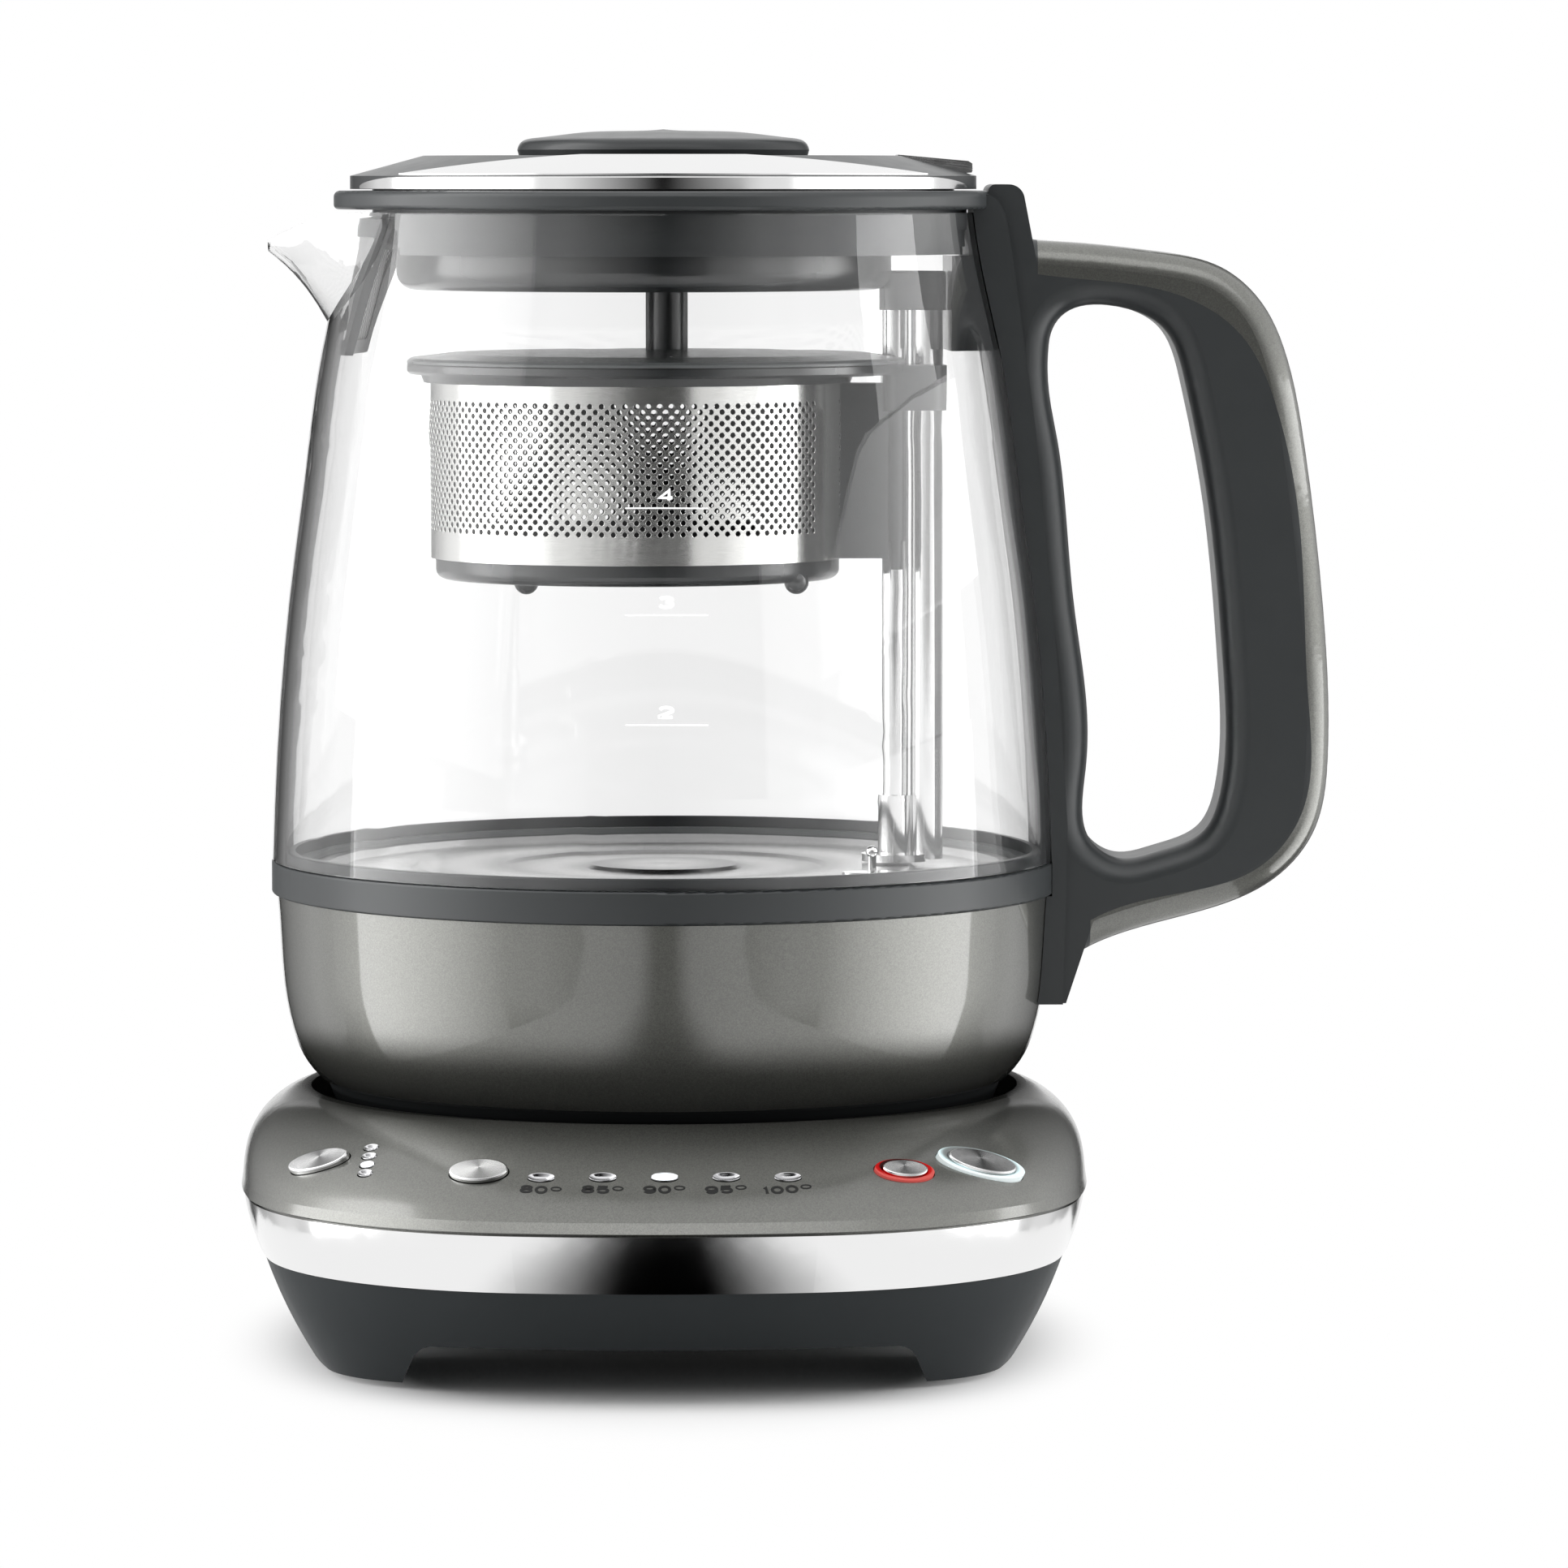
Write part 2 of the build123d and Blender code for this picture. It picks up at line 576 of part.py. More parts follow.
with BuildPart() as inlay_region:
    with BuildSketch(Plane.XZ) as inlay_outline:
        with BuildLine():
            Spline(*INLAY_EDGE)
            Polyline(INLAY_EDGE[-1], (80.9, 60), (140, 60), (140, 230), (70.6, 230), INLAY_EDGE[0])
        make_face()
    extrude(inlay_outline.sketch, amount=20, both=True)

with BuildPart() as handle_inlay:
    add(handle_blank.part)
    add(inlay_region.part, mode=Mode.INTERSECT)

with BuildPart() as handle_grip:
    add(handle_blank.part)
    add(inlay_region.part, mode=Mode.SUBTRACT)

# ------------------------------------------------------------------ brew unit
TUBES = ((RISER_X, RISER_RADIUS), (RETURN_X, RETURN_RADIUS))


def clear_tubes():
    """Cut room for both tubes through the part being built."""
    for x, radius in TUBES:
        disc(radius, 80, 200, x, TUBE_Y, mode=Mode.SUBTRACT)


def tube(x, radius, bottom):
    """Thin steel tube up to the cap."""
    with BuildPart() as pipe:
        disc(radius, bottom, 200, x, TUBE_Y)
        disc(radius - TUBE_WALL, bottom - 1, 201, x, TUBE_Y, mode=Mode.SUBTRACT)
    return pipe


riser_tube = tube(RISER_X, RISER_RADIUS, 92.8)
return_tube = tube(RETURN_X, RETURN_RADIUS, 91.8)

with BuildPart() as tube_cap:
    block((41.1, 53.8), (TUBE_Y - 4.4, TUBE_Y + 4.4), (196.4, 203.9))
    fillet(tube_cap.edges().filter_by(Axis.Z), 3)
    fillet(tube_cap.edges().group_by(Axis.Z)[-1], 0.6)
    clear_tubes()

with BuildPart() as tube_foot:
    disc(6.4, 91.4, 92.8, RISER_X, TUBE_Y)
    disc(3.4, 92.8, 104, RISER_X, TUBE_Y)
    clear_tubes()

with BuildPart() as basket_frame:
    turn([(40.5, 184.4), (46.8, 184.4), (FRAME_RADIUS, 184.9), (FRAME_RADIUS, FRAME_TOP), (38.5, FRAME_TOP),
          (38.5, 184.4)], x=FRAME_X)
    turn([(38.0, STRAINER_TOP), (40.6, STRAINER_TOP), (41.2, 184.4), (38.0, 184.4)], x=BASKET_X)
    # the arm that sleeves the tubes
    with BuildSketch(Plane.XY.offset(177.5)) as arm:
        with Locations((47.5, -1)):
            RectangleRounded(12.2, 14.4, 2.6)
    extrude(arm.sketch, amount=8.5)
    disc(38.0, 170, 190, x=BASKET_X, mode=Mode.SUBTRACT)
    clear_tubes()

with BuildPart() as strainer:
    turn([(0, STRAINER_BOTTOM), (STRAINER_RADIUS, STRAINER_BOTTOM), (STRAINER_RADIUS, STRAINER_TOP),
          (STRAINER_RADIUS - 0.5, STRAINER_TOP), (STRAINER_RADIUS - 0.5, STRAINER_BOTTOM + 0.5),
          (0, STRAINER_BOTTOM + 0.5)], x=BASKET_X)

with BuildPart() as basket_bottom:
    turn([(0, 145.6), (38.4, 145.6), (38.4, STRAINER_BOTTOM), (0, STRAINER_BOTTOM)], x=BASKET_X,
         rounds=[(1, 1.8)])
    for x in (-25.7, 24.8):
        for y in (-22, 22):
            with Locations((x, y, 145.8)):
                Sphere(2.3)

with BuildPart() as siphon_box:
    block((30, 42.4), (-9, -1.3), (STRAINER_BOTTOM, 177.4))
    block((30, 41.3), (-9, -1.3), (170, 182.7))
    disc(STRAINER_RADIUS, 140, 190, x=BASKET_X, mode=Mode.SUBTRACT)

with BuildPart() as siphon_tube:
    disc(1.7, 152.7, 177.4, 44.2, -3.2)
    disc(1.2, 147.2, 152.7, 44.2, -3.2)

# ------------------------------------------------------------------ basket lid
with BuildPart() as basket_lid:
    turn([(0, 189), (40, 188.2), (46.6, 187.4), (FRAME_RADIUS, 186.9), (FRAME_RADIUS, 186.4), (40, 186.4),
          (0, 187.2)], x=FRAME_X)
    block((40.6, 60), (TUBE_Y - 5, TUBE_Y + 5), (180, 195), mode=Mode.SUBTRACT)
    disc(4.0, 180, 195, x=0.6, mode=Mode.SUBTRACT)

with BuildPart() as lid_stem:
    disc(4.0, 186.6, 200.0, x=0.6)

# ------------------------------------------------------------------ lid
DISH_X = -3.7
CHEEK_ARC = 106.0
CHEEK_ARC_Y = 62.0

CHEEK_EDGE = LID_RADIUS - 0.8           # where the cheeks meet the bright band
CHEEK_EDGE_TOP = LID_EDGE_TOP + 0.25
with BuildPart() as lid_cheeks:
    turn([(LID_FLAT_RADIUS - 3, LID_FLAT + 0.2), (LID_FLAT_RADIUS, LID_FLAT + 0.2),
          (CHEEK_EDGE, CHEEK_EDGE_TOP + 0.2), (CHEEK_EDGE, LID_EDGE_TOP - 0.9),
          (LID_FLAT_RADIUS - 3, LID_FLAT - 1.1)])
    with BuildSketch(Plane.XY.offset(210)) as middle_strip:
        with Locations((0, CHEEK_ARC_Y)):
            Circle(CHEEK_ARC)
        with Locations((0, -CHEEK_ARC_Y)):
            Circle(CHEEK_ARC, mode=Mode.INTERSECT)
    extrude(middle_strip.sketch, amount=30, mode=Mode.SUBTRACT)

LEAF_START = 43.0
LEAF_LENGTH = 14.0
LEAF_HEIGHT = 2.6
with BuildPart() as lid_band:
    turn([(CHEEK_EDGE, LID_BOTTOM + 0.1), (LID_RADIUS + 0.2, LID_BOTTOM + 0.1),
          (LID_RADIUS + 0.2, LID_EDGE_TOP - 0.3), (LID_RADIUS - 0.1, LID_EDGE_TOP),
          (CHEEK_EDGE, LID_EDGE_TOP)])
    # it thins out to a rounded leaf point at both ends, on both halves
    with BuildSketch(Plane.XZ) as leaf:
        with Locations((0, LID_BOTTOM)):
            Rectangle(2 * LEAF_START, 2 * LEAF_HEIGHT)
        with Locations((-LEAF_START, LID_BOTTOM + 0.4), (LEAF_START, LID_BOTTOM + 0.4)):
            Ellipse(LEAF_LENGTH, LEAF_HEIGHT - 0.4)
    extrude(leaf.sketch, amount=80, both=True, mode=Mode.INTERSECT)

TAB_RIBS = 4
with BuildPart() as lid_tab:
    # lengthwise ribs step down on both flanks of the thumb tab
    for step in range(TAB_RIBS):
        slab([(44.3, 225.9 - 0.3 * step), (57.6, 224.7 - 0.5 * step), (58.4, 224.2 - 0.4 * step),
              (58.2, 222.5), (56.8, 222.4), (44.3, 224.2)], 7.5 + 0.5 * step)

with BuildPart() as lid_cover:
    turn([(0, LID_FLAT), (LID_FLAT_RADIUS, LID_FLAT), (LID_RADIUS, LID_EDGE_TOP), (LID_RADIUS, LID_BOTTOM),
          (57.6, LID_BOTTOM), (57.6, 220.6), (44.2, 223.9), (0, 223.9)])
    for piece in (lid_cheeks, lid_band, lid_tab):
        add(piece.part, mode=Mode.SUBTRACT)

with BuildPart() as lid_plug:
    turn([(0, 208), (54.4, 208), (55.2, 209), (55.2, 211.8), (54.4, 211.8), (54.4, 214.2), (55.2, 214.2),
          (55.2, 221.0), (53.0, 221.4), (53.0, 210), (0, 210)])
    turn([(0, 200.3), (47, 200.3), (47, 208.5), (45, 208.5), (45, 202.3), (0, 202.3)], x=DISH_X,
         rounds=[(1, 3.6), (4, 1.8)])
    block((40.5, 60), (TUBE_Y - 5.2, TUBE_Y + 5.2), (190, 204.4), mode=Mode.SUBTRACT)

with BuildPart() as lid_seal:
    turn([(54.4, 211.8), (55.6, 212.4), (55.6, 213.6), (54.4, 214.2)])

with BuildPart() as lid_knob:
    turn_curve([(0, KNOB_TOP), (14, 230.2), (24, 229.1), (26.9, 228.3), (KNOB_RADIUS, 226.8)],
               [(0, LID_FLAT), (27.4, LID_FLAT)])

# ------------------------------------------------------------------ export
PIECES = {
    "base_tray": base_tray, "foot_pads": foot_pads, "base_band": base_band, "deck_panel": deck_panel,
    "strength_lamps": strength_lamps, "temperature_lamps": temperature_lamps,
    "keep_warm_halo": keep_warm_halo, "start_halo": start_halo, "strength_button": strength_button,
    "temperature_button": temperature_button, "keep_warm_button": keep_warm_button,
    "start_button": start_button, "tact_switches": tact_switches, "control_board": control_board,
    "power_board": power_board, "power_relay": power_relay, "base_screws": base_screws,
    "base_connector": base_connector, "cord_gland": cord_gland, "jug_connector": jug_connector,
    "jug_cover": jug_cover, "jug_screws": jug_screws, "jug_housing": jug_housing,
    "jug_collar": jug_collar, "plate_seal": plate_seal, "heating_plate": heating_plate,
    "heating_element": heating_element, "thermostat": thermostat,
    "temperature_probe": temperature_probe, "glass_jug": glass_jug, "handle_spine": handle_spine,
    "rim_ring": rim_ring, "spout_filter_frame": spout_filter_frame,
    "spout_filter_mesh": spout_filter_mesh, "rim_clamp": rim_clamp, "handle_inlay": handle_inlay,
    "handle_grip": handle_grip, "riser_tube": riser_tube, "return_tube": return_tube,
    "tube_cap": tube_cap, "tube_foot": tube_foot, "basket_frame": basket_frame, "strainer": strainer,
    "basket_bottom": basket_bottom, "siphon_box": siphon_box, "siphon_tube": siphon_tube,
    "basket_lid": basket_lid, "lid_stem": lid_stem, "lid_cheeks": lid_cheeks, "lid_band": lid_band,
    "lid_tab": lid_tab, "lid_cover": lid_cover, "lid_plug": lid_plug, "lid_seal": lid_seal,
    "lid_knob": lid_knob,
}

boxes = [piece.part.bounding_box() for piece in PIECES.values()]
low = Vector(min(box.min.X for box in boxes), min(box.min.Y for box in boxes), 0)
high = Vector(max(box.max.X for box in boxes), max(box.max.Y for box in boxes), 0)
to_origin = (low + high) * -0.5
print("moved to the origin by", to_origin)

os.makedirs("parts", exist_ok=True)
for name, piece in PIECES.items():
    placed = piece.part.moved(Location(to_origin))
    placed.label = name
    export_step(placed, f"parts/{name}.step")
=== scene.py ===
import math

import bpy
from mathutils import Matrix, Vector
from mathutils.bvhtree import BVHTree


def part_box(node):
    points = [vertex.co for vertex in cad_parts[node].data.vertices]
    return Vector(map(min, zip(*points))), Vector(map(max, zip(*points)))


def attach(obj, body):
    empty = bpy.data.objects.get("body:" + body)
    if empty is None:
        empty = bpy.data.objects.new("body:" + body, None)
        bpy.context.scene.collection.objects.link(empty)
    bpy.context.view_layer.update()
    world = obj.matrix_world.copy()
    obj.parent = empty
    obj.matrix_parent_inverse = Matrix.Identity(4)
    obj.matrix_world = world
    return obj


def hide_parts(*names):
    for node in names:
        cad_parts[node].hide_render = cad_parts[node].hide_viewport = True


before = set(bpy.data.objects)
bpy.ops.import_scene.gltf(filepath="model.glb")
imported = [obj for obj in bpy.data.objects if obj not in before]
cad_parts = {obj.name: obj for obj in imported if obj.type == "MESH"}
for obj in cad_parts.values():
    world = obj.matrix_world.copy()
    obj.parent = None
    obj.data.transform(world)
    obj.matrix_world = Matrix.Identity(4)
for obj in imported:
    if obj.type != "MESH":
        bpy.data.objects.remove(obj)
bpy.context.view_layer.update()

MM = 0.001
UP = Vector((0, 0, 1))
DOWN = Vector((0, 0, -1))
BACKWARDS = Vector((0, 1, 0))


def node_middle(name):
    low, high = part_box(name)
    return (low + high) / 2


# The jug's axis, the origin of every place in millimetres below.
AXIS = node_middle("jug_collar")
AXIS.z = 0


def at(x, y, z):
    """A point in metres in the frame, from millimetres about the jug's axis."""
    return AXIS + Vector((x, y, z)) * MM


# ---------------------------------------------------------------- node trees
class Tree:
    """The node tree of a material or of the world, with short calls for its nodes."""

    def __init__(self, owner):
        owner.use_nodes = True
        self.nodes = owner.node_tree.nodes
        self.links = owner.node_tree.links

    def node(self, kind, **settings):
        made = self.nodes.new(kind)
        for key, value in settings.items():
            setattr(made, key, value)
        return made

    def put(self, value, socket):
        """Give a node's input a number, a vector or another node's output."""
        if isinstance(value, bpy.types.NodeSocket):
            self.links.new(value, socket)
        else:
            socket.default_value = value

    def fill(self, made, values):
        for value, socket in zip(values, made.inputs):
            self.put(value, socket)

    def math(self, operation, *values, clamp=False):
        made = self.node("ShaderNodeMath", operation=operation, use_clamp=clamp)
        self.fill(made, values)
        return made.outputs[0]

    def vector(self, operation, *values):
        made = self.node("ShaderNodeVectorMath", operation=operation)
        self.fill(made, values)
        measured = operation in ("DOT_PRODUCT", "LENGTH", "DISTANCE")
        return made.outputs["Value" if measured else "Vector"]

    def part(self, vector, axis):
        split = self.node("ShaderNodeSeparateXYZ")
        self.put(vector, split.inputs[0])
        return split.outputs[axis]

    def spread(self, value, low, high, start=0.0, end=1.0, steps="LINEAR"):
        """Low to high, as a value runs from start to end."""
        made = self.node("ShaderNodeMapRange", interpolation_type=steps)
        self.fill(made, (value, start, end, low, high))
        return made.outputs["Result"]

    def wave(self, value, pitch):
        """A sine of a length in metres, with its pitch in millimetres."""
        return self.math("SINE", self.math("MULTIPLY", value, 2 * math.pi / (pitch * MM)))


class Shader(Tree):
    """A Principled material that varies with the place on the object."""

    def __init__(self, name, colour, roughness=0.5, metallic=0.0, **sockets):
        self.material = bpy.data.materials.new(name)
        super().__init__(self.material)
        self.inputs = self.nodes["Principled BSDF"].inputs
        sockets.update(Base_Color=(*colour, 1), Roughness=roughness, Metallic=metallic)
        for socket, value in sockets.items():
            self.put(value, self.inputs[socket.replace("_", " ")])
        self.place = self.node("ShaderNodeTexCoord").outputs["Object"]

    def texture(self, kind, scale, place=None):
        made = self.node(kind)
        self.put(scale, made.inputs["Scale"])
        self.put(place or self.place, made.inputs["Vector"])
        return made

    def noise(self, scale, detail=3.0, stretch=None):
        place = self.vector("MULTIPLY", self.place, stretch) if stretch else None
        made = self.texture("ShaderNodeTexNoise", scale, place)
        self.put(detail, made.inputs["Detail"])
        return made.outputs["Fac"]

    def cells(self, scale):
        return self.texture("ShaderNodeTexVoronoi", scale).outputs["Color"]

    def tint(self, value, dark, light):
        """Base colour that runs from dark to light with a value."""
        made = self.node("ShaderNodeMix", data_type="RGBA")
        self.put(value, made.inputs["Factor"])
        made.inputs[6].default_value = (*dark, 1)
        made.inputs[7].default_value = (*light, 1)
        self.put(made.outputs[2], self.inputs["Base Color"])

    def roughness(self, value, low, high):
        self.put(self.spread(value, low, high), self.inputs["Roughness"])

    def bump(self, height, depth, strength=1.0):
        """Relief that is depth millimetres high at full strength."""
        made = self.node("ShaderNodeBump")
        self.put(depth * MM, made.inputs["Distance"])
        self.put(strength, made.inputs["Strength"])
        self.put(height, made.inputs["Height"])
        self.put(made.outputs["Normal"], self.inputs["Normal"])

    def glow(self, colour, low, high):
        """Light of a colour, with a strength that clouds between low and high."""
        self.put(colour, self.inputs["Emission Color"])
        self.put(self.spread(self.noise(GLOW_CLOUDS, 2), low, high),
                 self.inputs["Emission Strength"])


# ---------------------------------------------------------------- finishes
# Scales of the noises and cells, per metre of the object.
GLOW_CLOUDS = 150
PLASTIC_CLOUDS = 60
PLASTIC_SHEEN = 220
PLASTIC_GRAIN = 5200
FLAKES = 5200
FLAKE_SHEEN = 1800
LACQUER_SKIN = 2600
POLISH_SHEEN = 90
POLISH_SWELL = 40
SPUN_SHEEN = 900
GLASS_SWELL = 30

TURNING_PITCH = 0.16        # of the rings that a lathe leaves, in millimetres
GLASS_EDGE_SHADE = (0.68, 0.95)   # from where to where the glass is tinted dark as painted shade, as it turns edge on


def scaled(colour, factor):
    return tuple(channel * factor for channel in colour)


def satin_plastic(name, colour, roughness, grain=0.006, gloss=0.5, alpha=1.0):
    """Moulded plastic: a fine spark-eroded grain and slightly uneven gloss."""
    shader = Shader(name, colour, roughness, Specular_IOR_Level=gloss, Alpha=alpha)
    shader.tint(shader.noise(PLASTIC_CLOUDS, 4), scaled(colour, 0.93), scaled(colour, 1.07))
    shader.roughness(shader.noise(PLASTIC_SHEEN, 4), roughness - 0.05, roughness + 0.05)
    shader.bump(shader.noise(PLASTIC_GRAIN, 2), grain, 0.35)
    return shader.material


def metallic_lacquer(name, colour, coat_roughness):
    """Lacquer with metal flakes under a clear coat."""
    shader = Shader(name, colour, 0.36, 0.8,
                    Coat_Weight=1.0, Coat_Roughness=coat_roughness, Coat_IOR=1.7)
    flakes = shader.math("ADD", shader.cells(FLAKES), 0.0, clamp=True)
    shader.tint(flakes, scaled(colour, 0.8), scaled(colour, 1.2))
    shader.roughness(shader.noise(FLAKE_SHEEN, 2), 0.3, 0.42)
    shader.bump(shader.noise(LACQUER_SKIN, 2), 0.012, 0.4)
    return shader.material


def polished(name, colour, roughness=0.05):
    """Plated or polished metal with a trace of unevenness."""
    shader = Shader(name, colour, roughness, 1.0)
    shader.roughness(shader.noise(POLISH_SHEEN, 3), roughness * 0.7, roughness * 1.5)
    shader.bump(shader.noise(POLISH_SWELL, 2), 0.02, 0.15)
    return shader.material


def brushed(name, colour, roughness, stretch=None, scale=300):
    """Steel with a grain along one direction."""
    shader = Shader(name, colour, roughness, 1.0)
    grain = shader.noise(scale, 3, stretch)
    shader.tint(grain, scaled(colour, 0.86), scaled(colour, 1.08))
    shader.roughness(grain, roughness * 0.75, roughness * 1.3)
    shader.bump(grain, 0.01, 0.25)
    return shader.material


def woven_steel(name, colour, pitch):
    """Fine wire cloth: wires over and under each other at a pitch in millimetres."""
    shader = Shader(name, colour, 0.35, 1.0)
    waves = [shader.wave(shader.vector("DOT_PRODUCT", shader.place, direction), pitch)
             for direction in (BACKWARDS, UP)]
    cloth = shader.spread(shader.math("MULTIPLY", *waves), 0, 1, -0.7, 0.7)
    shader.tint(cloth, scaled(colour, 0.25), scaled(colour, 1.2))
    shader.bump(cloth, 0.1)
    return shader.material


def spun_metal(name, colour, roughness, centre, normal, painted_fan=None, band=None):
    """Metal turned on a lathe: fine rings about an axis.

    The colour carries a painted highlight in a fan along a direction, or painted bands of light and
    shade at a pitch.
    """
    shader = Shader(name, colour, roughness, 1.0, Anisotropic=0.85)
    arm = shader.vector("SUBTRACT", shader.place, centre)
    around = shader.vector("CROSS_PRODUCT", arm, normal)
    shader.put(around, shader.inputs["Tangent"])
    radius = shader.vector("LENGTH", around)
    # Painted highlight: the colour is lighter along the fan's direction and darker across it.
    if painted_fan:
        cosine = shader.math("DIVIDE", shader.vector("DOT_PRODUCT", arm, painted_fan), radius)
        shader.tint(shader.math("MULTIPLY", cosine, cosine, clamp=True),
                    scaled(colour, 0.5), scaled(colour, 1.2))
    # Painted light and shade: rings of lighter and darker colour at the band's pitch.
    if band:
        shader.tint(shader.spread(shader.wave(radius, band), 0, 1, -1, 1),
                    scaled(colour, 0.7), scaled(colour, 1.5))
    shader.roughness(shader.noise(SPUN_SHEEN, 3), roughness * 0.8, roughness * 1.2)
    shader.bump(shader.wave(radius, TURNING_PITCH), 0.002, 0.3)
    return shader.material


def clear_glass(name):
    """Glass tinted dark where it is seen edge on: painted shade in place of the dark edges of a
    thick wall.
    """
    shader = Shader(name, (1, 1, 1), 0.0, IOR=1.47, Transmission_Weight=1.0)
    facing = shader.node("ShaderNodeLayerWeight")
    shader.put(0.5, facing.inputs["Blend"])
    # Painted shade: the colour turns dark as the surface turns edge on.
    edge = shader.spread(facing.outputs["Facing"], 0.0, 1.0, *GLASS_EDGE_SHADE, "SMOOTHSTEP")
    shader.tint(edge, (0.985, 0.985, 0.985), (0.06, 0.06, 0.062))
    shader.roughness(shader.noise(GLASS_SWELL, 2), 0.0, 0.004)
    return shader.material


def glowing(name, colour, strength, roughness=0.3):
    shader = Shader(name, colour, roughness)
    shader.glow((*colour, 1), strength * 0.85, strength * 1.15)
    return shader.material


DARK = (0.036, 0.040, 0.042)
GREY_LACQUER = (0.165, 0.167, 0.152)
PLATE_MIDDLE = at(0, 0, 91)

dark_plastic = satin_plastic("dark_plastic", DARK, 0.36, gloss=0.62)
tray_plastic = satin_plastic("tray_plastic", DARK, 0.5, gloss=0.08)
# The jug's black plastic bottom cover, made darker still than the other black plastics as painted
# shade in the gap under the jug.
shaded_cover_plastic = satin_plastic("shaded_cover_plastic", scaled(DARK, 0.25), 0.6, gloss=0.1)
inner_plastic = satin_plastic("inner_plastic", scaled(DARK, 0.8), 0.24, gloss=0.9)
lid_plastic = satin_plastic("lid_plastic", scaled(DARK, 0.75), 0.3)
grey_lacquer = metallic_lacquer("grey_lacquer", GREY_LACQUER, 0.06)
deck_lacquer = metallic_lacquer("deck_lacquer", GREY_LACQUER, 0.14)
bright_trim = polished("bright_trim", (0.86, 0.86, 0.86), 0.12)
silver_tab = brushed("silver_tab", (0.75, 0.75, 0.75), 0.25, (1, 20, 1))
glass = clear_glass("jug_glass")
tube_steel = polished("tube_steel", (0.82, 0.82, 0.82), 0.08)
filter_cloth = woven_steel("filter_cloth", (0.6, 0.6, 0.6), 1.1)
strainer_steel = brushed("strainer_steel", (0.84, 0.84, 0.82), 0.17, (1, 1, 30), 400)
# The inside of the strainer and the bores of its holes: its steel painted near black, as painted
# shade inside the cup.
strainer_inside_shade = brushed("strainer_inside_shade", (0.035, 0.035, 0.035), 0.45, (1, 1, 30), 400)
# The heating plate's colour carries painted bands of light and shade, 17 mm apart.
plate_steel = spun_metal("plate_steel", (0.4, 0.4, 0.4), 0.18, PLATE_MIDDLE, UP, band=17)
screw_steel = polished("screw_steel", (0.55, 0.55, 0.55), 0.3)
silicone = satin_plastic("silicone", (0.2, 0.21, 0.21), 0.6)
foot_rubber = satin_plastic("foot_rubber", (0.03, 0.03, 0.03), 0.8, grain=0.12)
smoked = satin_plastic("smoked_plastic", (0.16, 0.17, 0.17), 0.25, alpha=0.9)
lamp_dish = polished("lamp_dish", (0.5, 0.5, 0.51), 0.12)
lit_lamp = glowing("lit_lamp", (0.85, 0.9, 0.92), 0.8)
board_green = satin_plastic("board_green", (0.03, 0.14, 0.06), 0.4)
component_black = satin_plastic("component_black", (0.03, 0.03, 0.032), 0.4)
element_metal = brushed("element_metal", (0.6, 0.6, 0.6), 0.4)
connector_nylon = satin_plastic("connector_nylon", (0.025, 0.025, 0.025), 0.45)
black_ink = satin_plastic("black_ink", (0.006, 0.006, 0.006), 0.45)
# The white print glows though it is no lamp: painted light that keeps it bright against the glass.
glowing_white_ink = glowing("glowing_white_ink", (0.9, 0.9, 0.9), 0.6, 0.5)

FINISHES = {
    dark_plastic: ["jug_collar", "handle_spine", "handle_grip", "rim_ring"],
    shaded_cover_plastic: ["jug_cover"],
    inner_plastic: ["rim_clamp", "tube_cap", "basket_frame", "basket_bottom", "siphon_box",
                    "siphon_tube", "spout_filter_frame", "lid_stem", "lid_plug"],
    lid_plastic: ["lid_cover", "lid_knob"],
    tray_plastic: ["base_tray", "cord_gland"],
    grey_lacquer: ["jug_housing", "handle_inlay"],
    deck_lacquer: ["deck_panel"],
    bright_trim: ["base_band", "lid_band", "lid_cheeks"],
    silver_tab: ["lid_tab"],
    glass: ["glass_jug"],
    tube_steel: ["riser_tube", "return_tube", "tube_foot", "temperature_probe"],
    filter_cloth: ["spout_filter_mesh"],
    strainer_steel: ["strainer"],
    plate_steel: ["heating_plate"],
    screw_steel: ["base_screws", "jug_screws"],
    silicone: ["plate_seal", "lid_seal"],
    foot_rubber: ["foot_pads"],
    smoked: ["basket_lid"],
    lamp_dish: ["strength_lamps", "temperature_lamps"],
    board_green: ["control_board", "power_board"],
    component_black: ["tact_switches", "power_relay", "thermostat"],
    element_metal: ["heating_element"],
    connector_nylon: ["base_connector", "jug_connector"],
}
CREASE = math.radians(32)


def finish_node(name, material):
    """Give a CAD node its finish and its smooth shading."""
    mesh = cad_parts[name].data
    mesh.materials.clear()
    mesh.materials.append(material)
    mesh.shade_smooth()
    mesh.set_sharp_from_angle(angle=CREASE)


for material, names in FINISHES.items():
    for name in names:
        finish_node(name, material)


# ---------------------------------------------------------------- buttons
OVER_THE_DECK = 100


def skin_of(node):
    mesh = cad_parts[node].data
    corners = [vertex.co.copy() for vertex in mesh.vertices]
    return BVHTree.FromPolygons(corners, [tuple(face.vertices) for face in mesh.polygons])


def oval_place(skin, x, y, turn):
    """The oval that stands on a skin over (x, y): its middle, its two directions, and outwards."""
    middle, out = skin.ray_cast(at(x, y, OVER_THE_DECK), DOWN)[:2]
    along = Matrix.Rotation(math.radians(turn), 3, out) @ Vector((1, 0, 0))
    along = (along - out * along.dot(out)).normalized()
    return middle, along, out.cross(along), out


# Colours of the lit rings, by the share of the ring's half sizes at which they stand.
RING_STOPS = (0.79, 0.84, 0.93, 0.99)
# The red ring's first colour, near black, is painted shade where the ring dips to the cap.
RED = ((0.02, 0.001, 0.001), (0.36, 0.001, 0.001), (0.4, 0.001, 0.001), (0.5, 0.08, 0.07))
WHITE = ((0.16, 0.17, 0.17), (0.2, 0.23, 0.23), (0.6, 0.74, 0.76), (0.66, 0.72, 0.72))
RING_GLOW = (0.42, 0.58)


